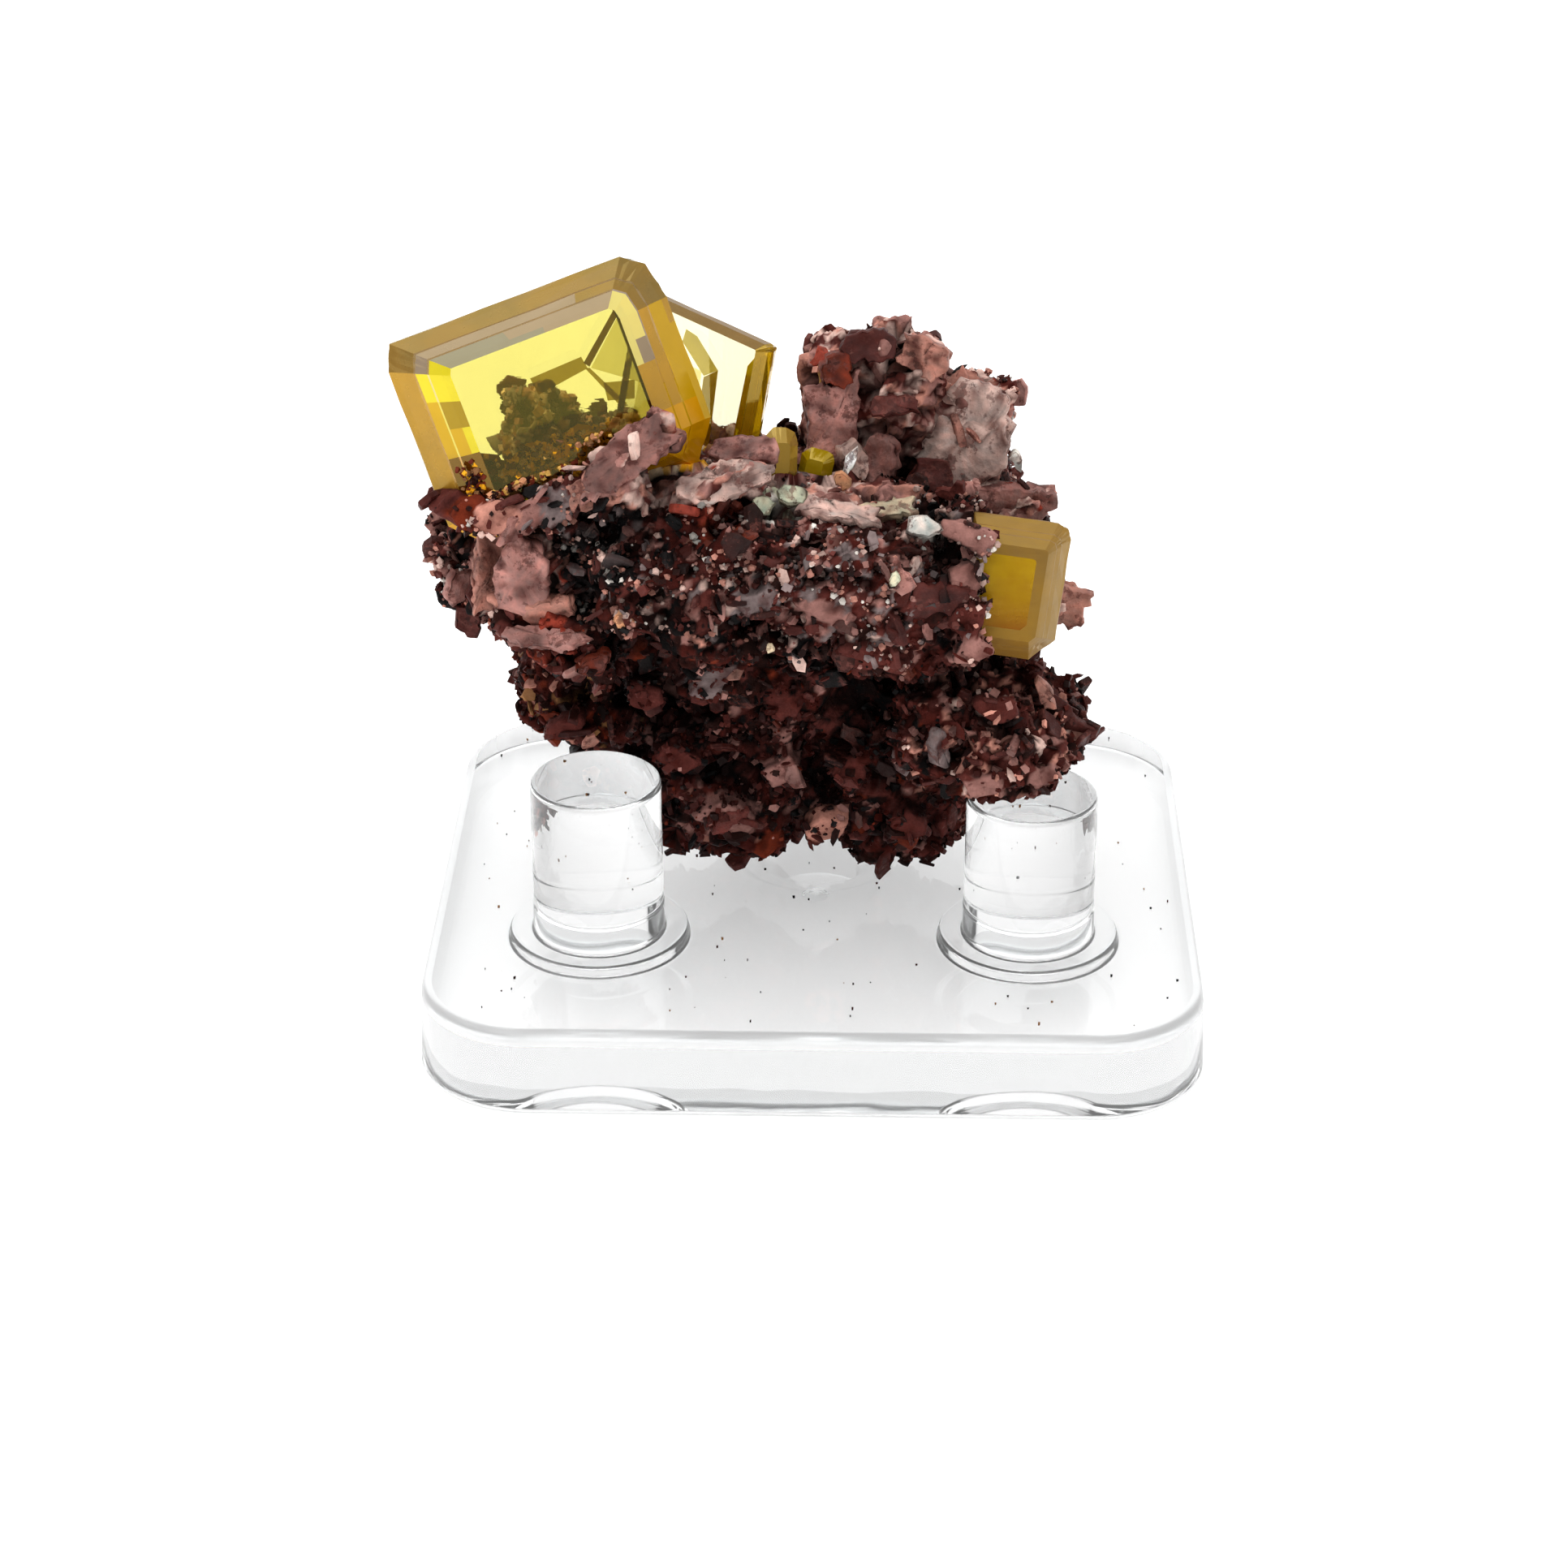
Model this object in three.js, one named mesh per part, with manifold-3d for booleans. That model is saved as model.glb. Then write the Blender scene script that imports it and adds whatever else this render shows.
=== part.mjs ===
// A wulfenite specimen on its display stand.
//
// Tabular yellow wulfenite crystals grow on a rough matrix of bladed barite about 32 mm wide, and the matrix
// lies on the three pegs of a clear moulded stand. Millimetres, +Z up, +Y away from the display side. The
// origin is the centre of the stand's flat underside.

import * as THREE from "three";
import { ConvexGeometry } from "three/addons/geometries/ConvexGeometry.js";
import { ImprovedNoise } from "three/addons/math/ImprovedNoise.js";
import { mergeVertices } from "three/addons/utils/BufferGeometryUtils.js";
import Module from "manifold-3d";

const wasm = await Module();
wasm.setup();

// ---------------------------------------------------------------- driving dimensions, in mm

const BASE = { width: 38, depth: 33.5, thickness: 4.3, corner: 5.5, chamfer: 0.6, cornerSteps: 6 };
const PEG = { radius: 3.2, chamfer: 0.15, segments: 24 };
const COLLAR = { radius: 4.4, height: 0.5, round: 0.25 };
const PEGS = [
  { name: "front left", at: [-10.5, -7], height: 8.5 },
  { name: "front right", at: [10.5, -7], height: 8.0 },
  { name: "rear", at: [0, 8], height: 8.2 },
];
const SEATED = 0.3; // clearance between the matrix and each piece that it touches
const MERGE = 1e-3; // vertices of a geometry closer than this are one

// The matrix is a heap of rough lumps: centre, half sizes, and turns about X, Y and Z in degrees.
const LUMPS = [
  { name: "belly left", at: [-3.8, 0.3, 12.8], size: [5.0, 5.4, 7.0], turn: [0, 8, 0] },
  { name: "belly right", at: [3.5, 0.2, 13.0], size: [4.2, 5.8, 7.0], turn: [0, -10, 0] },
  { name: "between the bellies", at: [0.8, -0.8, 10.4], size: [2.4, 3.6, 3.4] },
  { name: "core", at: [-2.5, -0.5, 20.5], size: [8.5, 5.5, 6.0] },
  { name: "lower left flank", at: [-10.0, 0.4, 16.0], size: [4.4, 4.6, 4.7], turn: [0, 18, 0] },
  { name: "lower right flank", at: [8.0, -4.0, 14.7], size: [4.8, 5.0, 2.8], turn: [0, 24, -8] },
  { name: "hidden back", at: [0.5, 5.6, 17.5], size: [10.4, 4.6, 5.6] },
  { name: "left shoulder", at: [-10.8, -3.4, 22.6], size: [4.2, 5.0, 4.4], turn: [0, 30, 0] },
  { name: "shelf left", at: [-5.6, -4.6, 23.5], size: [5.4, 4.9, 4.4], turn: [0, -4, 0] },
  { name: "shelf middle", at: [1.4, -4.7, 22.9], size: [5.6, 4.9, 4.2], turn: [0, 5, 0] },
  { name: "shelf right", at: [5.2, -4.2, 22.2], size: [3.6, 4.4, 4.2] },
  { name: "behind the right crystal", at: [8.3, -1.0, 21.4], size: [2.6, 3.0, 3.4] },
  { name: "left spur", at: [-15.3, -1.6, 22.4], size: [2.4, 3.4, 3.2], turn: [0, -16, 0] },
  { name: "plateau left", at: [-8.4, 3.0, 23.0], size: [6.4, 5.0, 4.2] },
  { name: "plateau right", at: [2.6, 3.4, 22.0], size: [7.0, 5.0, 4.3] },
  { name: "tower left", at: [1.8, 1.4, 27.9], size: [2.5, 2.8, 4.5] },
  { name: "tower top", at: [3.6, 1.2, 29.6], size: [2.4, 2.6, 3.4], turn: [0, 14, 0] },
  { name: "tower right", at: [6.7, 1.8, 26.2], size: [2.4, 2.7, 3.9], turn: [0, 8, 0] },
  { name: "knob behind the main crystal", at: [-13.6, 1.8, 27.0], size: [1.9, 1.8, 2.8] },
];
const LUMP_DETAIL = 3;
const LUMP_SQUARENESS = 3; // 2 is an ellipsoid, and more is boxier
const ROUGHNESS = [
  { amount: 1.0, scale: 0.3 },
  { amount: 0.8, scale: 0.8 },
];

// Barite blades that stand out one by one: centre, [length, height, thickness] and turns.
const BLADES = [
  { name: "long pink blade", at: [-8.5, -7.7, 30.0], size: [6.0, 2.4, 1.5], turn: [-25, -36, 4] },
  { name: "foot of the long blade", at: [-9.0, -7.4, 28.0], size: [3.6, 3.6, 2.6], turn: [-10, -30, 0] },
  { name: "pale blade below it", at: [-4.3, -6.9, 28.2], size: [5.4, 2.2, 2.4], turn: [-40, -16, 6] },
  { name: "upright left blade", at: [-13.3, -7.2, 23.4], size: [2.6, 5.4, 1.4], turn: [0, 12, -10] },
  { name: "upright spur blade", at: [-15.2, -5.4, 23.2], size: [1.6, 5.0, 1.6], turn: [0, 10, 20] },
  { name: "ledge blade", at: [-10.9, -7.2, 19.6], size: [5.6, 2.0, 3.0], turn: [10, 8, 0] },
  { name: "tower plate", at: [7.1, 0.2, 27.8], size: [4.0, 5.8, 2.4], turn: [-16, 20, -14] },
  { name: "tower crest", at: [4.7, 0.4, 31.8], size: [3.4, 2.2, 2.2], turn: [-10, 30, 0] },
  { name: "upper right tip", at: [9.4, -1.4, 25.1], size: [4.6, 2.2, 2.4], turn: [0, -3, 0] },
  { name: "lower right tip", at: [10.9, -2.4, 20.2], size: [4.6, 2.4, 2.2], turn: [0, 4, 0] },
  { name: "wing tip", at: [11.5, -4.6, 14.8], size: [4.6, 2.2, 2.4], turn: [0, 22, 0] },
];

// The form of every blade, as shares of its length, height and thickness.
const BLADE_FORM = { tipRise: 1 / 6, shoulder: 1 / 3, face: 1 / 4, faceRise: 1 / 8 };

// The rest of the blades are scattered over the lumps, standing out of them and clear of crystals and pegs.
const SCATTER = {
  tries: 140,
  seed: 7,
  length: [1.8, 3.4],
  height: [1.4, 2.2],
  thickness: [0.6, 1.0],
  lean: 0.8,
  depth: 0.93, // where a blade's middle lies between its lump's centre, 0, and surface, 1
  clearOfCrystal: 1.2,
  besidePeg: 1,
  abovePeg: 3,
};

// The wulfenite tablets. The edges of both faces slope in by slopes (left, top, right, bottom), and the corners
// are cut by cuts (top left, top right, bottom right, bottom left), each [across, down], as seen from the
// display side.
const WULFENITE = {
  wulfenite_main: {
    at: [-12.23, -3.8, 30.95],
    size: [13.3, 10.5, 5.0],
    slopes: [2.58, 1.76, 2.55, 1.8],
    cuts: [[0.5, 1.2], [1.4, 2.5], [1.4, 2.0], [1.6, 1.6]],
    turn: [-15, -17.6, 10],
  },
  wulfenite_rear: {
    at: [-6.25, 1.4, 28.82],
    size: [9.0, 9.0, 1.5],
    slopes: [0.3, 0.25, 0.3, 0.3],
    cuts: [[0.4, 0.4], [0.25, 0.35], [0.8, 0.8], [0.8, 0.8]],
    turn: [-10, 4.9, -41],
  },
  wulfenite_right: {
    at: [8.9, -6.2, 22.85],
    size: [5.5, 6.6, 3.2],
    slopes: [1.0, 1.1, 1.1, 1.1],
    cuts: [[0.8, 0.8], [0.7, 0.7], [1.1, 1.1], [1.2, 0.8]],
    turn: [-15, 8.3, 2],
  },
  wulfenite_small_left: {
    at: [-1.75, -3.6, 28.3],
    size: [1.8, 2.6, 1.5],
    slopes: [0.5, 0.7, 0.5, 0.5],
    cuts: [[0.6, 0.7], [0.6, 0.7], [0.3, 0.3], [0.3, 0.3]],
    turn: [-20, 6, 12],
  },
  wulfenite_small_right: {
    at: [0.0, -3.0, 27.5],
    size: [1.6, 1.7, 1.3],
    slopes: [0.4, 0.4, 0.4, 0.4],
    cuts: [[0.4, 0.4], [0.4, 0.4], [0.4, 0.4], [0.4, 0.4]],
    turn: [-10, 10, -10],
  },
};
const FACE_CUT = 0.25; // how much of the corner cuts is left on the faces

// ---------------------------------------------------------------- helpers

const noise = new ImprovedNoise();
const union = (solids) => solids.reduce((a, b) => a.add(b));
const hull = (points) => new ConvexGeometry(points.map((p) => new THREE.Vector3(...p)));

// The place of something at a point, turned about Y, then X, then Z.
function placement(at, turn = [0, 0, 0]) {
  const [x, y, z] = turn.map(THREE.MathUtils.degToRad);
  return new THREE.Matrix4().makeRotationFromEuler(new THREE.Euler(x, y, z, "ZXY")).setPosition(...at);
}

// A closed three.js geometry as a manifold-3d solid.
function solid(geometry) {
  const bare = new THREE.BufferGeometry().setAttribute("position", geometry.getAttribute("position"));
  if (geometry.index) bare.setIndex(geometry.index);
  const merged = mergeVertices(bare, MERGE);
  const mesh = new wasm.Mesh({
    numProp: 3,
    vertProperties: merged.getAttribute("position").array,
    triVerts: new Uint32Array(merged.index.array),
  });
  return new wasm.Manifold(mesh);
}

// A manifold-3d solid as a flat-shaded three.js geometry.
function geometryOf(made) {
  const { vertProperties, triVerts } = made.getMesh();
  const geometry = new THREE.BufferGeometry();
  geometry.setAttribute("position", new THREE.BufferAttribute(new Float32Array(vertProperties), 3));
  geometry.setIndex(new THREE.BufferAttribute(new Uint32Array(triVerts), 1));
  const flat = geometry.toNonIndexed();
  flat.computeVertexNormals();
  return flat;
}

// ---------------------------------------------------------------- the stand

// The base's outline at height z, drawn in from its widest by inset.
function baseOutline(z, inset) {
  const radius = BASE.corner - inset;
  const centreX = BASE.width / 2 - BASE.corner;
  const centreY = BASE.depth / 2 - BASE.corner;
  const points = [];
  for (const [sideX, sideY, start] of [[1, 1, 0], [-1, 1, 90], [-1, -1, 180], [1, -1, 270]])
    for (let i = 0; i <= BASE.cornerSteps; i++) {
      const angle = THREE.MathUtils.degToRad(start + (90 * i) / BASE.cornerSteps);
      points.push([sideX * centreX + radius * Math.cos(angle), sideY * centreY + radius * Math.sin(angle), z]);
    }
  return points;
}

function base() {
  return solid(
    hull([
      ...baseOutline(0, 0),
      ...baseOutline(BASE.thickness - BASE.chamfer, BASE.chamfer / 3),
      ...baseOutline(BASE.thickness, BASE.chamfer),
    ]),
  );
}

// A peg with the collar at its foot, rooted in the base; clearance grows it all round.
function peg({ at, height }, clearance = 0) {
  const foot = -BASE.thickness / 2;
  const profile = [
    [0, foot],
    [COLLAR.radius + clearance, foot],
    [COLLAR.radius + clearance, COLLAR.height - COLLAR.round],
    [COLLAR.radius - COLLAR.round + clearance, COLLAR.height + clearance],
    [PEG.radius + clearance, COLLAR.height + clearance],
    [PEG.radius + clearance, height - PEG.chamfer + clearance],
    [PEG.radius - PEG.chamfer + clearance, height + clearance],
    [0, height + clearance],
  ];
  const lathe = new THREE.LatheGeometry(profile.map(([r, z]) => new THREE.Vector2(r, z)), PEG.segments);
  return solid(lathe.rotateX(Math.PI / 2).translate(...at, BASE.thickness));
}

const pegs = (clearance) => union(PEGS.map((one) => peg(one, clearance)));

// ---------------------------------------------------------------- the wulfenite

// Points of a tablet's outline at depth y, its edges drawn in by insets, with cut corners.
function tabletOutline([width, height], y, [left, top, right, bottom], cuts) {
  const [topLeft, topRight, bottomRight, bottomLeft] = cuts;
  const low = [left - width / 2, bottom - height / 2];
  const high = [width / 2 - right, height / 2 - top];
  return [
    [low[0], y, high[1] - topLeft[1]],
    [low[0] + topLeft[0], y, high[1]],
    [high[0] - topRight[0], y, high[1]],
    [high[0], y, high[1] - topRight[1]],
    [high[0], y, low[1] + bottomRight[1]],
    [high[0] - bottomRight[0], y, low[1]],
    [low[0] + bottomLeft[0], y, low[1]],
    [low[0], y, low[1] + bottomLeft[1]],
  ];
}

// A tabular crystal, widest at mid thickness; clearance grows it all round.
function tablet({ at, size, slopes, cuts, turn }, clearance = 0) {
  const [width, height, thickness] = size;
  const grown = [width + 2 * clearance, height + 2 * clearance];
  const half = thickness / 2 + clearance;
  const faceCuts = cuts.map(([across, down]) => [across * FACE_CUT, down * FACE_CUT]);
  const points = [
    ...tabletOutline(grown, -half, slopes, faceCuts),
    ...tabletOutline(grown, 0, [0, 0, 0, 0], cuts),
    ...tabletOutline(grown, half, slopes, faceCuts),
  ];
  return solid(hull(points).applyMatrix4(placement(at, turn)));
}

// ---------------------------------------------------------------- the matrix

// A squarish ball of half size 1.
function block() {
  const ball = new THREE.IcosahedronGeometry(1, LUMP_DETAIL);
  const position = ball.getAttribute("position");
  const p = new THREE.Vector3();
  for (let i = 0; i < position.count; i++) {
    p.fromBufferAttribute(position, i);
    const power = p.toArray().reduce((sum, c) => sum + Math.abs(c) ** LUMP_SQUARENESS, 0);
    p.multiplyScalar(power ** (-1 / LUMP_SQUARENESS));
    position.setXYZ(i, ...p);
  }
  return ball;
}

// A lump: a block stretched, placed, and pushed in and out by noise.
function lump({ at, size, turn }) {
  const ball = block().scale(...size).applyMatrix4(placement(at, turn));
  const position = ball.getAttribute("position");
  const centre = new THREE.Vector3(...at);
  const p = new THREE.Vector3();
  for (let i = 0; i < position.count; i++) {
    p.fromBufferAttribute(position, i);
    const outward = p.clone().sub(centre).normalize();
    const push = ROUGHNESS.reduce(
      (sum, { amount, scale }) => sum + amount * noise.noise(p.x * scale, p.y * scale, p.z * scale),
      0,
    );
    p.addScaledVector(outward, push);
    position.setXYZ(i, ...p);
  }
  return solid(ball);
}

// A barite blade: a plate that thins to its edges, its length along X and its thickness along Y.
function blade([length, height, thickness], place) {
  const { tipRise, shoulder, face, faceRise } = BLADE_FORM;
  const points = [];
  for (const side of [-1, 1]) {
    points.push([(side * length) / 2, 0, side * height * tipRise]);
    for (const up of [-1, 1]) {
      points.push([side * length * shoulder, 0, (up * height) / 2]);
      points.push([side * length * face, (up * thickness) / 2, side * height * faceRise]);
    }
  }
  return solid(hull(points).applyMatrix4(place));
}

// How far out a point lies from a lump's centre: 1 on its surface.
function reach({ at, size, turn }, point) {
  const local = point.clone().applyMatrix4(placement(at, turn).invert());
  return local.divide(new THREE.Vector3(...size)).length();
}

function nearCrystal(point) {
  return Object.values(WULFENITE).some(({ at, size }) => {
    const radius = Math.max(...size) / 2;
    return point.distanceTo(new THREE.Vector3(...at)) < radius + SCATTER.clearOfCrystal;
  });
}

function nearPeg(point) {
  return PEGS.some(({ at, height }) => {
    const beside = Math.hypot(point.x - at[0], point.y - at[1]) < PEG.radius + SCATTER.besidePeg;
    return beside && point.z < BASE.thickness + height + SCATTER.abovePeg;
  });
}

function scatteredBlades() {
  const up = new THREE.Vector3(0, 0, 1);
  const random = () => THREE.MathUtils.seededRandom();
  THREE.MathUtils.seededRandom(SCATTER.seed);
  const between = ([low, high]) => low + (high - low) * random();
  const direction = () => new THREE.Vector3(random() - 0.5, random() - 0.5, random() - 0.5).normalize();
  const blades = [];
  for (let i = 0; i < SCATTER.tries; i++) {
    const on = LUMPS[i % LUMPS.length];
    const radii = new THREE.Vector3(...on.size).multiplyScalar(SCATTER.depth);
    const point = direction().multiply(radii).applyMatrix4(placement(on.at, on.turn));
    const outward = point.clone().sub(new THREE.Vector3(...on.at)).normalize();
    outward.addScaledVector(direction(), SCATTER.lean).normalize();
    const turn = new THREE.Quaternion().setFromUnitVectors(up, outward);
    turn.multiply(new THREE.Quaternion().setFromAxisAngle(up, random() * Math.PI));
    const size = [between(SCATTER.length), between(SCATTER.height), between(SCATTER.thickness)];
    const buried = LUMPS.some((other) => other !== on && reach(other, point) < 1);
    if (buried || nearCrystal(point) || nearPeg(point)) continue;
    blades.push(blade(size, new THREE.Matrix4().makeRotationFromQuaternion(turn).setPosition(point)));
  }
  return blades;
}

function matrix() {
  const placedBlades = BLADES.map(({ at, size, turn }) => blade(size, placement(at, turn)));
  const grown = union([...LUMPS.map(lump), ...placedBlades, ...scatteredBlades()]);
  const pockets = Object.values(WULFENITE).map((crystal) => tablet(crystal, SEATED));
  return grown.subtract(union([pegs(SEATED), ...pockets]));
}

// ---------------------------------------------------------------- the part

const ACRYLIC = { color: "#eef1f2", roughness: 0.05, metalness: 0, transparent: true, opacity: 0.3 };
const ROCK = { color: "#7a4643", roughness: 0.85, metalness: 0 };
const CRYSTAL = { color: "#e0a81a", roughness: 0.08, metalness: 0, transparent: true, opacity: 0.6 };

const group = new THREE.Group();
function add(name, made, look) {
  const mesh = new THREE.Mesh(geometryOf(made), new THREE.MeshStandardMaterial(look));
  mesh.name = name;
  group.add(mesh);
}

add("stand", base().add(pegs()), ACRYLIC);
add("matrix", matrix(), ROCK);
for (const [name, crystal] of Object.entries(WULFENITE)) add(name, tablet(crystal), CRYSTAL);

export default group;
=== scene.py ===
"""A wulfenite specimen: tabular yellow crystals on a rough barite matrix, on a clear moulded peg stand."""

import math

import bmesh
import bpy
import numpy as np
from mathutils import Matrix, Vector, noise
from mathutils.bvhtree import BVHTree
from mathutils.kdtree import KDTree

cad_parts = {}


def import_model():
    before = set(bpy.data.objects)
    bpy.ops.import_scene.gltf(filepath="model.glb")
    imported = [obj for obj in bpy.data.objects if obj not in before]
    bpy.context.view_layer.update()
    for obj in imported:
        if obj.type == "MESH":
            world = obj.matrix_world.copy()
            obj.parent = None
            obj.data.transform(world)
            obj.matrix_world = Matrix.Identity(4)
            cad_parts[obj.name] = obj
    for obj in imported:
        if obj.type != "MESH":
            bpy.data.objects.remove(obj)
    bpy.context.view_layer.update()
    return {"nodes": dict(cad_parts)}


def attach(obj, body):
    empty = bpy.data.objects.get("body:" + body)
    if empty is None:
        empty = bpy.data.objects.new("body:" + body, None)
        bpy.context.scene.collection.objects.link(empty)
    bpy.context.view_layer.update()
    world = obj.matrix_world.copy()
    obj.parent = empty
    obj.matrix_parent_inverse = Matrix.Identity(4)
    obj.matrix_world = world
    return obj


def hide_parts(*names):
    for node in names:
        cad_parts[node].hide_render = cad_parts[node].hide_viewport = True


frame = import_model()

# Shapes are made in millimetres, in the frame of the CAD, and stored in metres.
MM = 0.001


# ---- colours and zones of the rock


def linear(red, green, blue):
    """An sRGB colour, 0 to 255, as linear RGB."""
    return [(c / 255 / 12.92) if c < 11 else ((c / 255 + 0.055) / 1.055) ** 2.4 for c in (red, green, blue)]


COLOURS = {
    "pale": linear(206, 172, 160),
    "pink": linear(186, 128, 112),
    "mauve": linear(148, 104, 96),
    "grey": linear(122, 106, 104),
    "plum": linear(84, 39, 34),
    "maroon": linear(63, 20, 14),
    "brown": linear(34, 12, 8),
    "rust": linear(104, 38, 20),
    "red": linear(138, 54, 40),
    "black": linear(12, 8, 8),
    "white": linear(232, 224, 214),
    "green": linear(200, 200, 172),
    "cream": linear(216, 196, 164),
    "peach": linear(208, 146, 106),
    "tan": linear(138, 96, 60),
    "gold": linear(226, 176, 88),
    "amber": linear(250, 176, 30),
}

# Shares of the colours in each kind of ground.
PALETTES = {
    # The belly's colours are partly its own and partly painted shade: darker where the shelf overhangs it and
    # shuts out the light.
    "belly": {"maroon": 34, "brown": 28, "plum": 18, "black": 10, "mauve": 6, "rust": 3, "pink": 1},
    "shelf": {"brown": 26, "maroon": 22, "plum": 18, "mauve": 12, "grey": 5, "pale": 5, "black": 12},
    "dark": {"black": 60, "brown": 18, "plum": 8, "grey": 8, "pale": 4, "white": 2},
    "spur": {"black": 24, "maroon": 20, "plum": 24, "mauve": 22, "pink": 8, "pale": 2},
    "plates": {"pale": 32, "mauve": 34, "pink": 20, "plum": 8, "red": 6},
    "tower": {"mauve": 34, "pink": 20, "pale": 18, "plum": 16, "maroon": 12},
    "rust": {"rust": 52, "maroon": 26, "red": 14, "pink": 8},
    "greyish": {"mauve": 18, "grey": 16, "plum": 26, "pale": 4, "brown": 22, "maroon": 14},
    "reddish": {"red": 30, "maroon": 26, "pink": 20, "plum": 12, "rust": 12},
    "pinkish": {"plum": 26, "maroon": 28, "pink": 14, "mauve": 12, "brown": 18, "pale": 2},
    "mossy": {"green": 44, "pale": 24, "white": 14, "grey": 12, "mauve": 6},
    "white": {"white": 80, "pale": 20},
    "sandy": {"maroon": 40, "rust": 14, "brown": 26, "tan": 6, "plum": 10, "pink": 4},
    # The cave palette is painted shadow: near black where the rock is drawn in under the shelf and in the
    # lower mass.
    "shaded_cave": {"black": 46, "brown": 40, "plum": 14},
    # The bed is the rock next to the crystals: its bright gold is partly its own grains and partly painted
    # light, as if lit through the crystal.
    "bed": {"amber": 26, "gold": 26, "tan": 20, "rust": 16, "cream": 12},
    "knob": {"grey": 22, "mauve": 22, "pale": 38, "tan": 18},
}

# Zones of the rock: palette, centre and radius in mm. What lies in none is shelf above and belly below.
ZONES = [
    ("spur", (-16.6, -4.0, 21.4), 3.4),
    ("plates", (-13.6, -7.4, 23.8), 2.6),
    ("reddish", (-12.6, -8.0, 20.6), 2.2),
    ("dark", (-10.0, -7.6, 26.0), 2.7),
    ("dark", (-10.9, -7.8, 22.8), 1.3),
    ("greyish", (-8.4, -8.0, 26.0), 1.0),
    ("plates", (-8.6, -7.2, 29.8), 2.8),
    ("plates", (-4.0, -6.4, 28.8), 2.6),
    ("rust", (-4.4, -7.8, 27.0), 1.6),
    ("shaded_cave", (-7.4, -8.2, 20.6), 1.9),
    ("greyish", (2.6, -9.0, 24.2), 4.6),
    ("mossy", (-1.7, -6.6, 27.4), 1.6),
    ("mossy", (3.8, -9.3, 24.6), 1.0),
    ("white", (5.2, -6.9, 26.2), 1.0),
    ("plates", (2.2, -5.6, 26.6), 2.6),
    ("tower", (2.6, 0.6, 29.6), 5.2),
    ("rust", (0.7, -0.9, 31.5), 1.2),
    ("plates", (7.4, -0.8, 28.0), 3.2),
    ("plates", (9.8, -2.6, 25.2), 2.4),
    ("plates", (12.2, -3.0, 20.6), 2.0),
    ("pinkish", (9.6, -7.0, 16.4), 4.6),
    ("shaded_cave", (2.4, -5.4, 15.6), 2.2),
    ("sandy", (-12.6, -3.6, 15.8), 3.6),
    ("tower", (-6.0, 5.0, 25.0), 4.0),
    ("greyish", (7.0, 8.0, 20.0), 4.6),
    ("plates", (-3.0, 9.4, 18.0), 2.6),
    ("pinkish", (-9.6, 7.0, 16.0), 3.4),
    ("knob", (-13.6, 0.6, 28.6), 3.0),
]
SHELF_LEVEL = 20.4
# The borders are uneven: the noise's scale per mm, and its reach as a share of a zone's radius and in mm.
ZONE_NOISE = 0.4
ZONE_WOBBLE = 0.45
SHELF_WOBBLE = 3

NAMES = list(COLOURS)
RGB = np.array([COLOURS[name] for name in NAMES])


def colours_of(names):
    return RGB[[NAMES.index(name) for name in names]]


def kinds_of_ground(points):
    """The row in PALETTES of the zone that each point lies in."""
    wobble = np.array([noise.noise(Vector(p) * ZONE_NOISE) for p in points])
    kinds = list(PALETTES)
    above = points[:, 2] + SHELF_WOBBLE * wobble > SHELF_LEVEL
    kind = np.where(above, kinds.index("shelf"), kinds.index("belly"))
    best = np.zeros(len(points))
    for palette, centre, radius in ZONES:
        inside = 1 - np.linalg.norm(points - np.array(centre), axis=1) / radius + ZONE_WOBBLE * wobble
        kind = np.where(inside > best, kinds.index(palette), kind)
        best = np.maximum(best, inside)
    return kind


def tints(points, chances, bed=None):
    """A mineral colour for each point, by chance, from the palette of the zone that it lies in."""
    kinds = list(PALETTES)
    kind = kinds_of_ground(points)
    if bed is not None:
        kind = np.where(bed, kinds.index("bed"), kind)
    colours = np.zeros((len(points), 3))
    for index, name in enumerate(kinds):
        shares = PALETTES[name]
        edges = np.cumsum(list(shares.values())) / sum(shares.values())
        rows = np.array([NAMES.index(colour) for colour in shares])
        here = kind == index
        colours[here] = RGB[rows[np.minimum(np.searchsorted(edges, chances[here]), len(rows) - 1)]]
    return colours


# ---- making meshes and pieces


def new_object(name, vertices, faces, smooth=False, colours=None):
    """A mesh object from points in mm, with its colours in the attribute tint."""
    mesh = bpy.data.meshes.new(name)
    mesh.from_pydata((np.asarray(vertices, float) * MM).tolist(), [], faces)
    mesh.polygons.foreach_set("use_smooth", [smooth] * len(mesh.polygons))
    if colours is not None:
        attribute = mesh.color_attributes.new("tint", "FLOAT_COLOR", "POINT")
        rgba = np.ones((len(mesh.vertices), 4), np.float32)
        rgba[:, :3] = colours
        attribute.data.foreach_set("color", rgba.ravel())
    mesh.update()
    made = bpy.data.objects.new(name, mesh)
    bpy.context.scene.collection.objects.link(made)
    return made


def piece(made, slot, materials, *nodes):
    """Puts the object in the frame: its body, its finish and the CAD nodes that it stands for."""
    for material in materials:
        made.data.materials.append(material)
    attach(made, "root")
    if nodes:
        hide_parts(*nodes)
    return made


def outward(made):
    """Turns the faces of each closed shell outwards."""
    bm = bmesh.new()
    bm.from_mesh(made.data)
    bmesh.ops.recalc_face_normals(bm, faces=bm.faces)
    bm.to_mesh(made.data)
    bm.free()


def turned(at, turn):
    """The place of something at a point, turned about Y, then X, then Z, in degrees."""
    lean, spin, yaw = (math.radians(angle) for angle in turn)
    turns = Matrix.Rotation(yaw, 4, "Z") @ Matrix.Rotation(lean, 4, "X") @ Matrix.Rotation(spin, 4, "Y")
    return Matrix.Translation(at) @ turns


def moved(points, place):
    """Points taken to a place."""
    matrix = np.array(place)
    return np.asarray(points, float) @ matrix[:3, :3].T + matrix[:3, 3]


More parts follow.
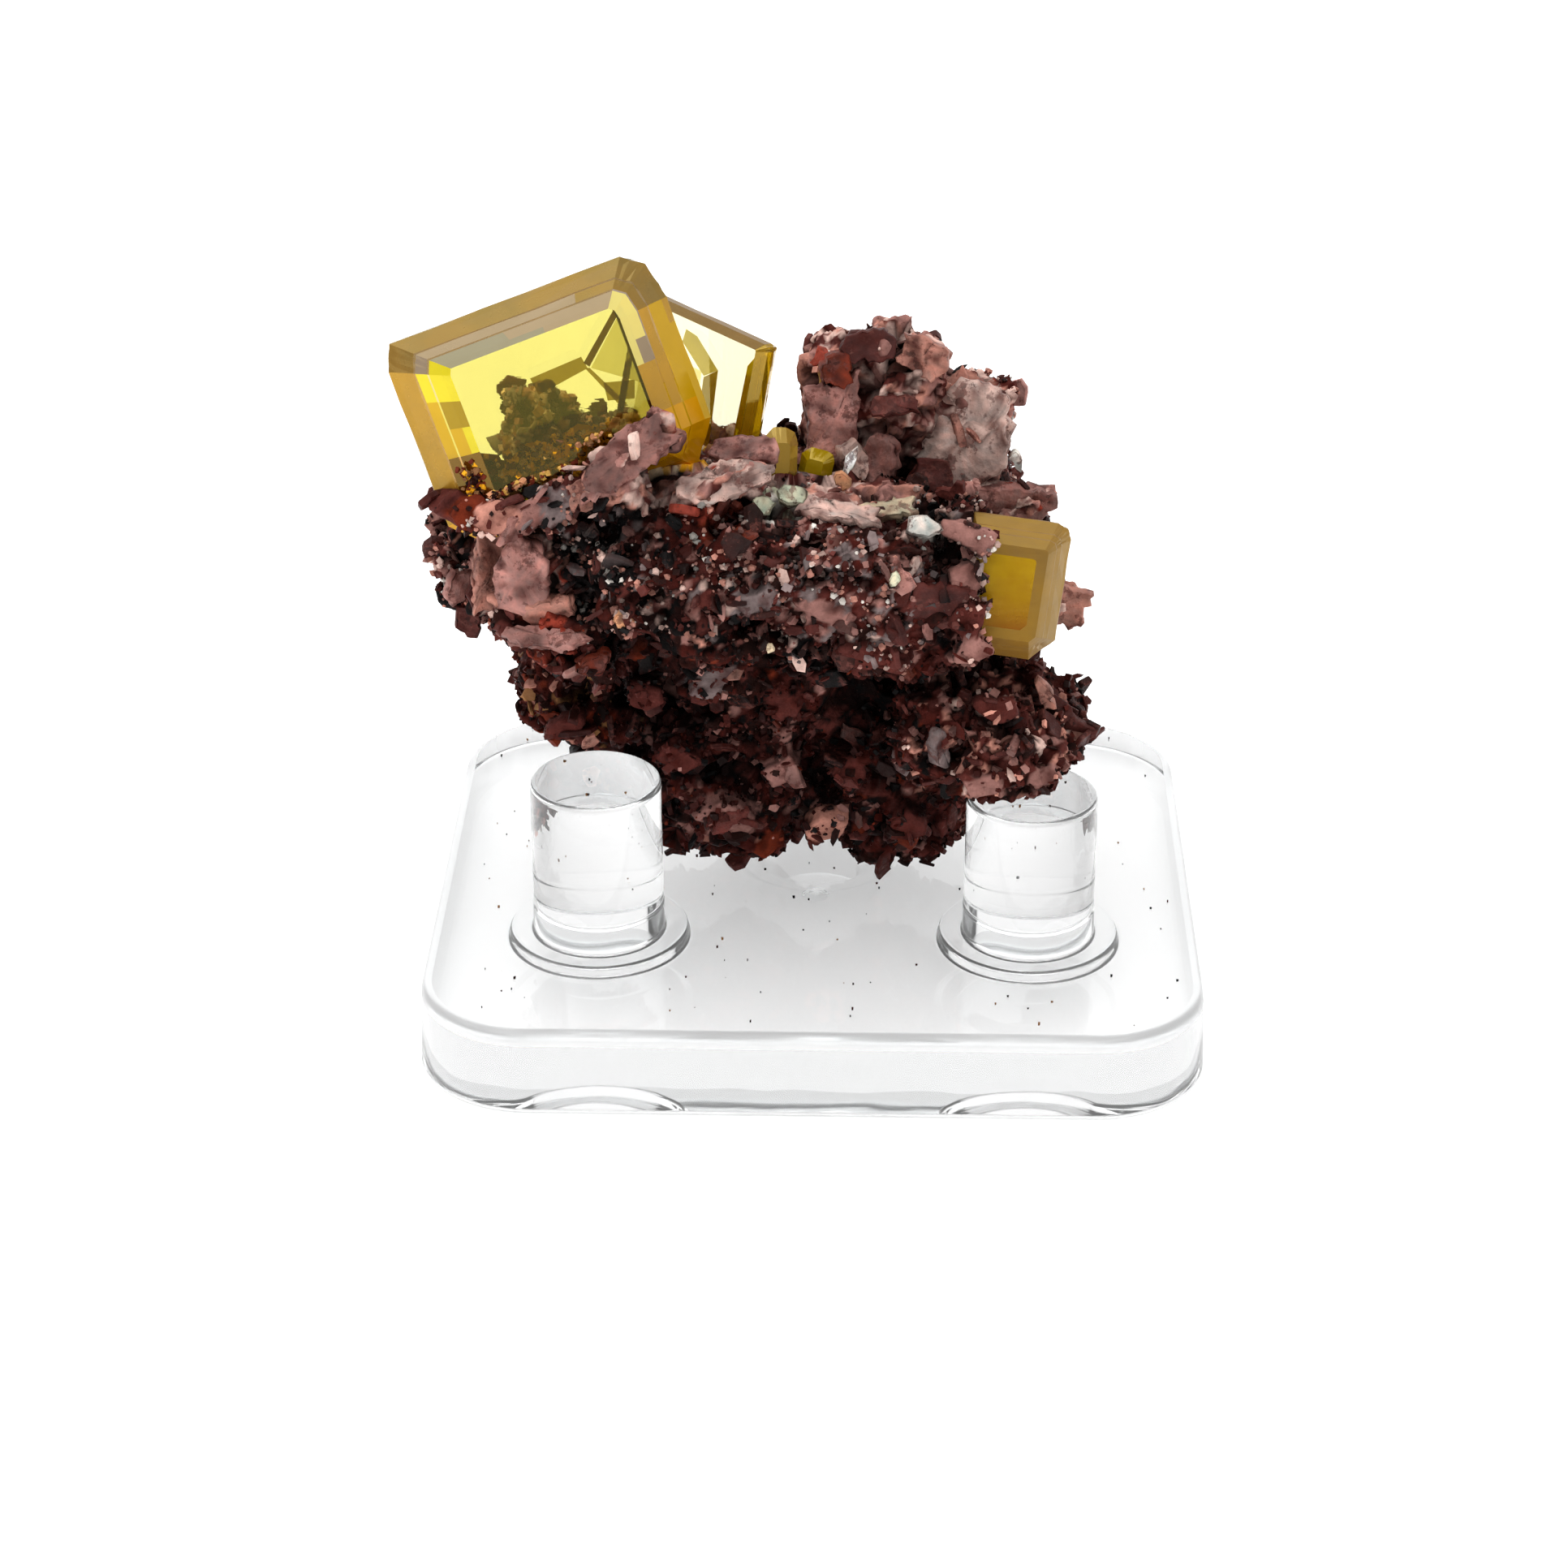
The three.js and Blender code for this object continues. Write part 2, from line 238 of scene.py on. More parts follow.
def loft(rings):
    """A closed shell through rings of equal length, given as lists of points: its vertices and faces."""
    count = len(rings[0])
    vertices = [p for ring in rings for p in ring]
    faces = []
    for k in range(len(rings) - 1):
        for i in range(count):
            j = (i + 1) % count
            faces.append((k * count + i, k * count + j, (k + 1) * count + j, (k + 1) * count + i))
    faces.append(tuple(reversed(range(count))))
    faces.append(tuple(range((len(rings) - 1) * count, len(rings) * count)))
    return vertices, faces


def stacked(outline, levels):
    """A small closed form: its outline in X and Z, scaled at levels along Y, given as [scale, level]."""
    return loft([[(x * scale, level, z * scale) for x, z in outline] for scale, level in levels])


# ---- materials


class Nodes:
    """The nodes of a new material or world."""

    def __init__(self, name, kind="Material"):
        owners = {"Material": bpy.data.materials, "World": bpy.data.worlds}
        self.owner = owners[kind].new(name)
        self.owner.use_nodes = True
        self.tree = self.owner.node_tree
        self.tree.nodes.clear()
        self.output = self.add("ShaderNodeOutput" + kind)
        self.coordinates = self.add("ShaderNodeTexCoord").outputs
        self.place = self.coordinates["Object"]

    def add(self, kind, values=(), **settings):
        node = self.tree.nodes.new(kind)
        for key, value in settings.items():
            setattr(node, key, value)
        for key, value in dict(values).items():
            if isinstance(value, bpy.types.NodeSocket):
                self.tree.links.new(value, node.inputs[key])
            else:
                node.inputs[key].default_value = value
        return node

    def noise(self, scale, detail=4.0, roughness=0.6, place=None):
        values = {"Vector": place or self.place, "Scale": scale, "Detail": detail, "Roughness": roughness}
        return self.add("ShaderNodeTexNoise", values).outputs["Fac"]

    def cells(self, scale, output="Distance"):
        return self.add("ShaderNodeTexVoronoi", {"Vector": self.place, "Scale": scale}).outputs[output]

    def ranged(self, value, low, high, to_low, to_high, curve="LINEAR"):
        values = {"Value": value, "From Min": low, "From Max": high, "To Min": to_low, "To Max": to_high}
        return self.add("ShaderNodeMapRange", values, interpolation_type=curve).outputs["Result"]

    def mix(self, factor, first, second, blend="MIX"):
        """Two colours mixed, each of them a socket or linear RGB."""
        first, second = (c if isinstance(c, bpy.types.NodeSocket) else (*c, 1.0) for c in (first, second))
        values = {0: factor, 6: first, 7: second}
        return self.add("ShaderNodeMix", values, data_type="RGBA", blend_type=blend).outputs[2]

    def bump(self, height, strength, distance):
        values = {"Height": height, "Strength": strength, "Distance": distance * MM}
        return self.add("ShaderNodeBump", values).outputs["Normal"]

    def surface(self, **values):
        values = {key.replace("_", " "): value for key, value in values.items()}
        shader = self.add("ShaderNodeBsdfPrincipled", values)
        self.tree.links.new(shader.outputs["BSDF"], self.output.inputs["Surface"])
        return self.owner

    def absorb(self, colour, density):
        node = self.add("ShaderNodeVolumeAbsorption", {"Color": (*colour, 1.0), "Density": density})
        self.tree.links.new(node.outputs["Volume"], self.output.inputs["Volume"])


def mineral_material(name, rough, bump, spots, gloss, crust=0.0):
    """Rock, flakes and grains: the tint of each place, mottled and spotted at the scale of fine grains."""
    n = Nodes(name)
    # The tint holds each place's own colour with the painted shade of the rock's cavities multiplied in.
    tint = n.add("ShaderNodeAttribute", attribute_name="tint").outputs["Color"]
    mottle = n.ranged(n.noise(1100, 6, 0.7), 0.3, 0.7, 0.62, 1.25)
    mottle = n.add("ShaderNodeCombineColor", {0: mottle, 1: mottle, 2: mottle}).outputs[0]
    colour = n.mix(1.0, tint, mottle, "MULTIPLY")
    if crust:
        # Patches of fine dark grains over the plates.
        grain = n.ranged(n.cells(4200, "Color"), 0.1, 0.9, 0.0, 1.0)
        grains = n.mix(grain, linear(34, 13, 10), linear(112, 62, 54))
        patch = n.ranged(n.noise(800, 8, 0.72), 0.53, 0.57, 0.0, crust)
        colour = n.mix(patch, colour, grains)
    spot = n.ranged(n.noise(1900, 3, 0.55), 0.60, 0.68, 0.0, spots)
    colour = n.mix(spot, colour, linear(60, 20, 16))
    dust = n.ranged(n.noise(2600, 4, 0.6), 0.66, 0.76, 0.0, 0.25)
    colour = n.mix(dust, colour, linear(176, 122, 108))
    height = n.add("ShaderNodeMath", {0: n.noise(3200, 5, 0.7), 1: n.cells(2400)}, operation="ADD").outputs[0]
    return n.surface(
        Base_Color=colour,
        Roughness=n.ranged(n.noise(1500, 3), 0.3, 0.7, *rough),
        Normal=n.bump(height, bump, 0.12),
        Specular_IOR_Level=gloss,
        IOR=1.6,
    )


# What the yellow takes out of the light: a colour and a density per metre.
YELLOW = (0.97, 0.95, 0.2), 380.0
PALE_YELLOW = (0.97, 0.95, 0.35), 220.0


def crystal_material(
    name, tint, clear=1.0, absorbed=YELLOW, rough=(0.05, 0.2), ripple=0.4, foot=None, clouded=None
):
    """Wulfenite: clear, strongly refracting and yellow by absorption, with fine growth lines on its faces."""
    n = Nodes("wulfenite_" + name)
    n.absorb(*absorbed)
    stretched = n.add("ShaderNodeMapping", {"Vector": n.place, "Scale": (1, 1, 5)}).outputs["Vector"]
    lines = n.noise(700, 3, 0.5, stretched)
    veil = n.ranged(n.noise(420, 4, 0.6), 0.35, 0.75, *rough)
    cloud = n.ranged(n.noise(260, 4, 0.6), 0.4, 0.8, 0.0, 1.0 if clear < 1.0 else 0.4)
    colour = n.mix(cloud, tint, clouded or [c * 0.8 for c in tint])
    if foot:
        height = n.add("ShaderNodeSeparateXYZ", {"Vector": n.place}).outputs["Z"]
        low, high, foot_tint = foot
        colour = n.mix(n.ranged(height, low * MM, high * MM, 1.0, 0.0), colour, foot_tint)
    return n.surface(
        Base_Color=colour,
        Roughness=veil,
        IOR=2.3,
        Transmission_Weight=clear,
        Specular_IOR_Level=0.5 if clear == 1.0 else 0.2,
        Specular_Tint=(1.0, 0.88, 0.3, 1) if clear == 1.0 else (1.0, 0.75, 0.2, 1),
        Normal=n.bump(lines, ripple, 0.02),
    )


def veil_material(name, tint, clear):
    """A growth line inside a crystal: it refracts like what is round it and shows by its tint."""
    n = Nodes("wulfenite_veil_" + name)
    cloud = n.ranged(n.noise(600, 4, 0.6), 0.35, 0.7, 0.0, 0.4)
    return n.surface(
        Base_Color=n.mix(cloud, tint, [c * 0.8 for c in tint]),
        Roughness=0.3,
        IOR=1.0,
        Transmission_Weight=clear,
    )


def acrylic_material(name, smooth, scuffed, clear=0.95):
    """Clear moulded acrylic with a faint waviness from the mould and a few fine scuffs."""
    n = Nodes(name)
    n.absorb((0.9, 0.95, 0.96), 2.0)
    return n.surface(
        Base_Color=(1, 1, 1, 1),
        Roughness=n.ranged(n.noise(900, 5, 0.7), 0.62, 0.8, smooth, scuffed),
        IOR=1.49,
        Transmission_Weight=clear,
        Normal=n.bump(n.noise(130, 2, 0.5), 0.25, 0.08),
    )


ROCK = mineral_material("matrix_rock", rough=(0.6, 0.95), bump=0.9, spots=0.55, gloss=0.06)
FLAKES = mineral_material("barite_flakes", rough=(0.35, 0.75), bump=0.45, spots=0.35, gloss=0.08)
GRAINS = mineral_material("rock_grains", rough=(0.35, 0.7), bump=0.4, spots=0.25, gloss=0.08)
PLATES = mineral_material("barite_plates", rough=(0.4, 0.75), bump=0.7, spots=0.6, gloss=0.12, crust=0.7)
# Tint, how clear it is, and what differs from the usual roughness and ripple.
POLISHED = {"rough": (0.0, 0.04), "ripple": 0.1}
SUGARY = {"rough": (0.2, 0.4), "ripple": 0.6}
CLEAR = crystal_material("clear", (0.79, 0.71, 0.62), **POLISHED)
RIM = crystal_material("rim", (0.86, 0.72, 0.36), rough=(0.03, 0.2))
# The gleam edges are painted highlights, and the lilac and steel edges are painted reflections of the sky.
GLEAM = crystal_material("gleam", (1.0, 0.86, 0.26), 0.4)
BRIGHT = crystal_material("bright", (1.0, 0.84, 0.02), 0.4)
HONEY = crystal_material("honey", (0.72, 0.4, 0.002), 0.35)
ORANGE = crystal_material("orange", (0.72, 0.32, 0.001), 0.2)
OLIVE = crystal_material("olive", (0.38, 0.23, 0.002), 0.3)
BROWN = crystal_material("brown", (0.13, 0.035, 0.001), 0.3)
SAND = crystal_material("sand", (0.56, 0.28, 0.025), 0.3, **SUGARY, clouded=(0.36, 0.19, 0.03))
TAN = crystal_material("tan", (0.25, 0.125, 0.022), 0.3, **SUGARY, clouded=(0.13, 0.09, 0.03))
LILAC_REFLECTION = crystal_material("lilac_reflection", (0.27, 0.2, 0.15), 0.15, rough=(0.15, 0.3), ripple=0.6)
STEEL_REFLECTION = crystal_material("steel_reflection", (0.19, 0.19, 0.16), 0.15, rough=(0.1, 0.25), ripple=0.6)
PALE_CLEAR = crystal_material("pale", (0.88, 0.83, 0.62), absorbed=PALE_YELLOW, **POLISHED)
PALE_RIM = crystal_material("pale_rim", (0.7, 0.38, 0.01), 0.7, PALE_YELLOW, rough=(0.02, 0.15))
BROWN_RIM = crystal_material("brown_rim", (0.2, 0.08, 0.01), 0.5, PALE_YELLOW, rough=(0.1, 0.3))
FROSTED = crystal_material(
    "frosted", (0.28, 0.135, 0.018), 0.25, rough=(0.3, 0.5), ripple=0.8, clouded=(0.15, 0.08, 0.035)
)
# The front face of the right crystal, redder at its foot, between these heights in mm.
CORE_FOOT = (21.4, 24.2, (0.26, 0.06, 0.001))
CORE = crystal_material(
    "core", (0.6, 0.36, 0.001), 0.3, rough=(0.15, 0.35), ripple=0.6,
    foot=CORE_FOOT, clouded=(0.34, 0.13, 0.001),
)
PALE_HONEY = crystal_material("pale_honey", (0.6, 0.36, 0.06), 0.6, PALE_YELLOW)
DEEP_YELLOW = crystal_material("deep_yellow", (0.46, 0.3, 0.004), 0.4)
VEIL_TINTS = {
    "amber": ((0.8, 0.34, 0.002), 0.3),
    "brown": ((0.2, 0.05, 0.001), 0.4),
    "tan": ((0.34, 0.2, 0.03), 0.5),
    "olive": ((0.46, 0.34, 0.06), 0.8),
    "pale": ((0.8, 0.74, 0.4), 0.9),
    "gold": ((0.98, 0.5, 0.004), 0.2),
}
VEIL_MATERIALS = {name: veil_material(name, tint, clear) for name, (tint, clear) in VEIL_TINTS.items()}
ACRYLIC = acrylic_material("stand_acrylic", smooth=0.015, scuffed=0.16)
GATE_ACRYLIC = acrylic_material("stand_gate_mark", smooth=0.5, scuffed=0.7)
EDGE_ACRYLIC = acrylic_material("stand_edge", smooth=0.3, scuffed=0.42, clear=0.65)

# Which material each part of a crystal has. The sides of its outline are counted from the upper left corner
# clockwise, its growth steps from the front face outwards.
LEFT_CUT, TOP, RIGHT_CUT, RIGHT_CUT_LOW, RIGHT, RIGHT_FOOT, BOTTOM, LEFT_FOOT, LEFT = range(9)
# The top edge in lengths from the left, the left and right edges from the top down.
# Along the edges, the steel and lilac steps are painted reflections and the gleam steps are painted
# highlights.
TOP_LENGTHS = [
    [STEEL_REFLECTION, STEEL_REFLECTION, TAN, LILAC_REFLECTION, TAN, TAN, TAN],
    [STEEL_REFLECTION, STEEL_REFLECTION, TAN, LILAC_REFLECTION, TAN, TAN, TAN],
    [STEEL_REFLECTION, LILAC_REFLECTION, TAN, LILAC_REFLECTION, TAN, TAN, TAN],
    [LILAC_REFLECTION, LILAC_REFLECTION, TAN, LILAC_REFLECTION, TAN, TAN, TAN],
    [LILAC_REFLECTION, LILAC_REFLECTION, TAN, TAN, TAN, TAN, TAN],
]
CORNER_STEPS = [GLEAM, GLEAM, LILAC_REFLECTION, TAN, TAN, TAN, TAN]
LEFT_LENGTHS = [
    [BRIGHT, BRIGHT, GLEAM, BRIGHT, SAND, SAND, SAND],
    [OLIVE, OLIVE, BRIGHT, HONEY, SAND, SAND, SAND],
    [BRIGHT, HONEY, BRIGHT, HONEY, SAND, SAND, SAND],
    [BROWN, BROWN, ORANGE, BROWN, SAND, SAND, SAND],
    [BROWN, BROWN, ORANGE, BROWN, SAND, SAND, SAND],
]
RIGHT_LENGTHS = [
    [GLEAM, GLEAM, LILAC_REFLECTION, SAND, SAND, HONEY, SAND],
    [GLEAM, LILAC_REFLECTION, LILAC_REFLECTION, SAND, SAND, HONEY, HONEY],
    [SAND, SAND, SAND, SAND, SAND, HONEY, HONEY],
    [SAND, SAND, HONEY, SAND, HONEY, HONEY, HONEY],
    [ORANGE, ORANGE, HONEY, ORANGE, HONEY, ORANGE, HONEY],
]


def main_finish(side, step, length, front):
    """The material of a step in one length of a side, on the front half or the back half."""
    if not front:
        return RIM
    if side == TOP:
        return TOP_LENGTHS[length][step]
    if side == LEFT_CUT:
        return TOP_LENGTHS[0][step] if step > 1 else BRIGHT
    if side in (RIGHT_CUT, RIGHT_CUT_LOW):
        return CORNER_STEPS[step]
    if side == LEFT:
        return LEFT_LENGTHS[::-1][length][step]
    if side == RIGHT:
        return RIGHT_LENGTHS[length][step]
    return ORANGE


def rear_finish(side, step, length, front):
    return BROWN_RIM if side in (LEFT_CUT, TOP) else PALE_RIM


def plain(material):
    """Edges of one material."""
    return lambda side, step, length, front: material


# The front face, the back face and the edges of each crystal.
FINISHES = {
    "wulfenite_main": (CLEAR, CLEAR, main_finish),
    "wulfenite_rear": (PALE_CLEAR, PALE_CLEAR, rear_finish),
    "wulfenite_right": (CORE, FROSTED, plain(FROSTED)),
    "wulfenite_small_left": (PALE_HONEY, PALE_HONEY, plain(PALE_HONEY)),
    "wulfenite_small_right": (DEEP_YELLOW, DEEP_YELLOW, plain(DEEP_YELLOW)),
}


# ---- the stand

BASE = {"width": 38.0, "depth": 33.5, "thickness": 4.3, "corner": 5.5, "corner_steps": 20}
# The base's edge from its underside to its deck: [height, how far in].
EDGE = [(0.0, 0.14), (0.05, 0.05), (0.15, 0.0), (0.25, 0.005), (3.5, 0.158)]
EDGE += [(3.6, 0.163), (3.85, 0.19), (4.05, 0.27), (4.2, 0.42), (4.3, 0.7)]
ROUNDED_EDGE = (3.7, 4.29)  # the heights between which the base's edge is rounded and dull
# The pegs: where each stands and how far it rises over the deck.
PEG_SPOTS = [(-10.5, -7.0, 8.5), (10.5, -7.0, 8.0), (0.0, 8.0, 8.2)]
PEG_RADIUS = 3.2
PEG_SIDES = 72
# A peg from the deck up: collar and foot as [radius, height], and its top as [radius, height from the top].
COLLAR = [(4.6, 0.0), (4.46, 0.05), (4.4, 0.15), (4.38, 0.34), (4.28, 0.46), (4.1, 0.5), (3.42, 0.5)]
PEG_FOOT = [(3.28, 0.55), (3.22, 0.68), (3.218, 0.78), (3.212, 1.8)]
PEG_FOOT += [(3.21, 1.9), (3.15, 2.0), (3.19, 2.1), (3.189, 2.2)]
PEG_TOP = [(3.161, -0.32), (3.16, -0.22), (3.12, -0.09), (3.02, -0.02), (2.9, 0.0), (2.8, 0.0)]
GATE = {"radius": 0.7, "rings": [(0.7, 0.0), (0.62, 0.07), (0.45, 0.16), (0.2, 0.22)], "sides": 32}
FLAT = 0.9999  # how upright the normal of a face is that isn't shaded smooth
DECK_SPECKS = 150
PEG_SPECKS = 7
DECK_MARGIN = 1.4  # how far the specks on the deck keep from its border
COLLAR_CLEAR = 4.8  # and from the middle of a peg
PEG_SPREAD = (2.2, 2.2, 0)  # how far the specks on a peg reach


def circle(radius, z, sides, at=(0.0, 0.0)):
    angles = [2 * math.pi * i / sides for i in range(sides)]
    return [(at[0] + radius * math.cos(a), at[1] + radius * math.sin(a), z) for a in angles]


def base_ring(z, inset):
    """The base's outline at height z, drawn in by inset."""
    radius = BASE["corner"] - inset
    ring = []
    for side_x, side_y, start in ((1, 1, 0), (-1, 1, 90), (-1, -1, 180), (1, -1, 270)):
        for i in range(BASE["corner_steps"] + 1):
            angle = math.radians(start + 90 * i / BASE["corner_steps"])
            x = side_x * (BASE["width"] / 2 - BASE["corner"]) + radius * math.cos(angle)
            y = side_y * (BASE["depth"] / 2 - BASE["corner"]) + radius * math.sin(angle)
            ring.append((x, y, z))
    return ring


def stand():
    """The base, pegs and collars as one moulding, with the gate mark in its underside."""
    bm = bmesh.new()

    def wall(rings):
        """Faces between rings of points. Returns the vertices and the edges of each ring."""
        loops = []
        for points in rings:
            verts = [bm.verts.new(p) for p in points]
            loops.append((verts, [bm.edges.new(pair) for pair in zip(verts, verts[1:] + verts[:1])]))
        for (low, _), (high, _) in zip(loops, loops[1:]):
            for i in range(len(low)):
                j = (i + 1) % len(low)
                bm.faces.new((low[i], low[j], high[j], high[i]))
        return loops

    sides = wall([base_ring(z, inset) for z, inset in EDGE])
    deck = list(sides[-1][1])
    for x, y, height in PEG_SPOTS:
        profile = COLLAR + PEG_FOOT + [(radius, height + drop) for radius, drop in PEG_TOP]
        peg = wall([circle(radius, BASE["thickness"] + z, PEG_SIDES, (x, y)) for radius, z in profile])
        bm.faces.new(peg[-1][0])
        deck += peg[0][1]
    bmesh.ops.triangle_fill(bm, use_beauty=True, edges=deck, normal=(0, 0, 1))
    gate = wall([circle(radius, depth, GATE["sides"]) for radius, depth in GATE["rings"]])
    bm.faces.new(gate[-1][0])
    bmesh.ops.triangle_fill(bm, use_beauty=True, edges=sides[0][1] + gate[0][1], normal=(0, 0, -1))
    bmesh.ops.recalc_face_normals(bm, faces=bm.faces)
    bmesh.ops.scale(bm, vec=(MM, MM, MM), verts=bm.verts)
    mesh = bpy.data.meshes.new("stand_moulding")
    bm.to_mesh(mesh)
    bm.free()
    mesh.polygons.foreach_set("use_smooth", [abs(polygon.normal.z) < FLAT for polygon in mesh.polygons])
    reach = GATE["radius"] * 1.01 * MM
    low, high = (z * MM for z in ROUNDED_EDGE)
    for polygon in mesh.polygons:
        if all(mesh.vertices[i].co.xy.length < reach for i in polygon.vertices):
            polygon.material_index = 1
        elif low < polygon.center.z < high:
            polygon.material_index = 2
    made = bpy.data.objects.new("stand_moulding", mesh)
    bpy.context.scene.collection.objects.link(made)
    return piece(made, "stand_acrylic", [ACRYLIC, GATE_ACRYLIC, EDGE_ACRYLIC], "stand")


def specks():
    """Specks of rock and dust that have dropped on the deck and the pegs."""
    rng = np.random.default_rng(51)
    deck = BASE["thickness"]
    wide, deep = (BASE[side] / 2 - DECK_MARGIN for side in ("width", "depth"))
    across = rng.uniform(-wide, wide, DECK_SPECKS)
    along = rng.uniform(-deep, deep, DECK_SPECKS)
    spots = [np.stack([across, along, np.full(DECK_SPECKS, deck)], axis=1)]
    for x, y, height in PEG_SPOTS:
        apart = np.array(PEG_SPREAD) * rng.uniform(-0.8, 0.8, (PEG_SPECKS, 3))
        spots.append(np.array((x, y, deck + height)) + apart)
    spots = np.concatenate(spots)
    clear = [np.hypot(spots[:, 0] - x, spots[:, 1] - y) > COLLAR_CLEAR for x, y, _ in PEG_SPOTS]
    spots = spots[np.all(clear, axis=0) | (spots[:, 2] >= deck + 1)]
    sizes = rng.uniform(0.05, 0.15, (len(spots), 1)) * rng.uniform(0.5, 1.0, spots.shape)
    axes = np.tile(np.eye(3), (len(spots), 1, 1))
    colours = colours_of(rng.choice(["brown", "maroon", "tan", "black"], len(spots)))
    vertices, faces = CHIP
    lifted = [(x, y, z + 0.6) for x, z, y in vertices]
    heap("dropped_specks", (lifted, faces), spots, axes, sizes, colours, 0.1, GRAINS, rng, False)


# ---- the wulfenite

WULFENITE = {
    "wulfenite_main": {
        "at": (-12.23, -3.8, 30.95),
        "size": (13.3, 10.5, 5.0),
        "slopes": (2.58, 1.76, 2.55, 1.8),
        "cuts": ((0.5, 1.2), (1.4, 2.5), (1.4, 2.0), (1.6, 1.6)),
        "turn": (-15, -17.6, 10),
    },
    "wulfenite_rear": {
        "at": (-6.25, 1.4, 28.82),
        "size": (9.0, 9.0, 1.5),
        "slopes": (0.3, 0.25, 0.3, 0.3),
        "cuts": ((0.4, 0.4), (0.25, 0.35), (0.8, 0.8), (0.8, 0.8)),
        "turn": (-10, 4.9, -41),
    },
    "wulfenite_right": {
        "at": (8.9, -6.2, 22.85),
        "size": (5.5, 6.6, 3.2),
        "slopes": (1.0, 1.1, 1.1, 1.1),
        "cuts": ((0.8, 0.8), (0.7, 0.7), (1.1, 1.1), (1.2, 0.8)),
        "turn": (-15, 8.3, 2),
    },
    "wulfenite_small_left": {
        "at": (-1.75, -3.6, 28.3),
        "size": (1.8, 2.6, 1.5),
        "slopes": (0.5, 0.7, 0.5, 0.5),
        "cuts": ((0.6, 0.7), (0.6, 0.7), (0.3, 0.3), (0.3, 0.3)),
        "turn": (-20, 6, 12),
    },
    "wulfenite_small_right": {
        "at": (0.0, -3.0, 27.5),
        "size": (1.6, 1.7, 1.3),
        "slopes": (0.4, 0.4, 0.4, 0.4),
        "cuts": ((0.4, 0.4), (0.4, 0.4), (0.4, 0.4), (0.4, 0.4)),
        "turn": (-10, 10, -10),
    },
}
FACE_CUT = 0.25  # the share of its cut corners that is left on a tablet's face
CORNER_ROUND = 0.29  # how far the upper right corner reaches out past its cut
EDGE_STEPS = 5  # the lengths that each side of the outline is divided into
# The sloping edge of a tablet as growth steps: [share of the way in, share of half the thickness].
PLAIN_STEPS = [(0.0, 0.0), (1.0, 1.0)]
THIN_STEPS = [(0.0, 0.3), (1.0, 1.0)]
GROWTH_STEPS = [(0.0, 0.06), (0.12, 0.16), (0.4, 0.42), (0.43, 0.5)]
GROWTH_STEPS += [(0.62, 0.66), (0.65, 0.73), (0.86, 0.9), (1.0, 1.0)]
FRAMED_STEPS = GROWTH_STEPS + [(1.45, 1.0)]


def stood(name):
    """The place of a crystal."""
    return turned(WULFENITE[name]["at"], WULFENITE[name]["turn"])


def tablet_ring(spec, share_in, depth, jitter, rng):
    """A tablet's outline at a depth, drawn in by a share of its slopes, its edges slightly uneven."""
    width, height, _ = spec["size"]
    left, top, right, bottom = (slope * share_in for slope in spec["slopes"])
    keep = max(FACE_CUT, 1 + (FACE_CUT - 1) * share_in)
    cuts = [(across * keep, down * keep) for across, down in spec["cuts"]]
    low = (left - width / 2, bottom - height / 2)
    high = (width / 2 - right, height / 2 - top)
    upper_left, upper_right, lower_right, lower_left = cuts
    corners = [
        (low[0], high[1] - upper_left[1]),
        (low[0] + upper_left[0], high[1]),
        (high[0] - upper_right[0], high[1]),
        (high[0] - CORNER_ROUND * upper_right[0], high[1] - CORNER_ROUND * upper_right[1]),
        (high[0], high[1] - upper_right[1]),
        (high[0], low[1] + lower_right[1]),
        (high[0] - lower_right[0], low[1]),
        (low[0] + lower_left[0], low[1]),
        (low[0], low[1] + lower_left[1]),
    ]
    ring = []
    for i, (x0, z0) in enumerate(corners):
        x1, z1 = corners[(i + 1) % len(corners)]
        for k in range(EDGE_STEPS):
            t = k / EDGE_STEPS
            dx, dz = rng.uniform(-jitter, jitter, 2) if 0 < t else (0.0, 0.0)
            ring.append((x0 + (x1 - x0) * t + dx, depth, z0 + (z1 - z0) * t + dz))
    return ring


def wulfenite_piece(made, chosen, *nodes):
    """A piece of wulfenite with the material chosen for each of its faces."""
    materials = list(dict.fromkeys(chosen))
    for polygon, material in zip(made.data.polygons, chosen):
        polygon.material_index = materials.index(material)
    outward(made)
    piece(made, "wulfenite", materials, *nodes)


def crystal(name, steps, jitter, seed):
    """A tablet with growth steps on its sloping edges. Its finish gives each step of each side a material."""
    spec = WULFENITE[name]
    rng = np.random.default_rng(seed)
    half = spec["size"][2] / 2
    front = [(share_in, half * out) for share_in, out in steps]
    levels = [(share_in, -out) for share_in, out in reversed(front)]
    levels += front if front[0][1] > 0 else front[1:]
    rings = [tablet_ring(spec, share_in, out, jitter * (share_in < 0.5), rng) for share_in, out in levels]
    vertices, faces = loft(rings)
    made = new_object(name + "_crystal", moved(vertices, stood(name)), faces)
    front_face, back_face, edge_finish = FINISHES[name]
    around = len(rings[0])
    chosen = []
    for index in range((len(rings) - 1) * around):
        step, k = divmod(index, around)
        chosen.append(edge_finish(k // EDGE_STEPS, step, k % EDGE_STEPS, step < len(front) - 1))
    wulfenite_piece(made, chosen + [front_face, back_face], name)


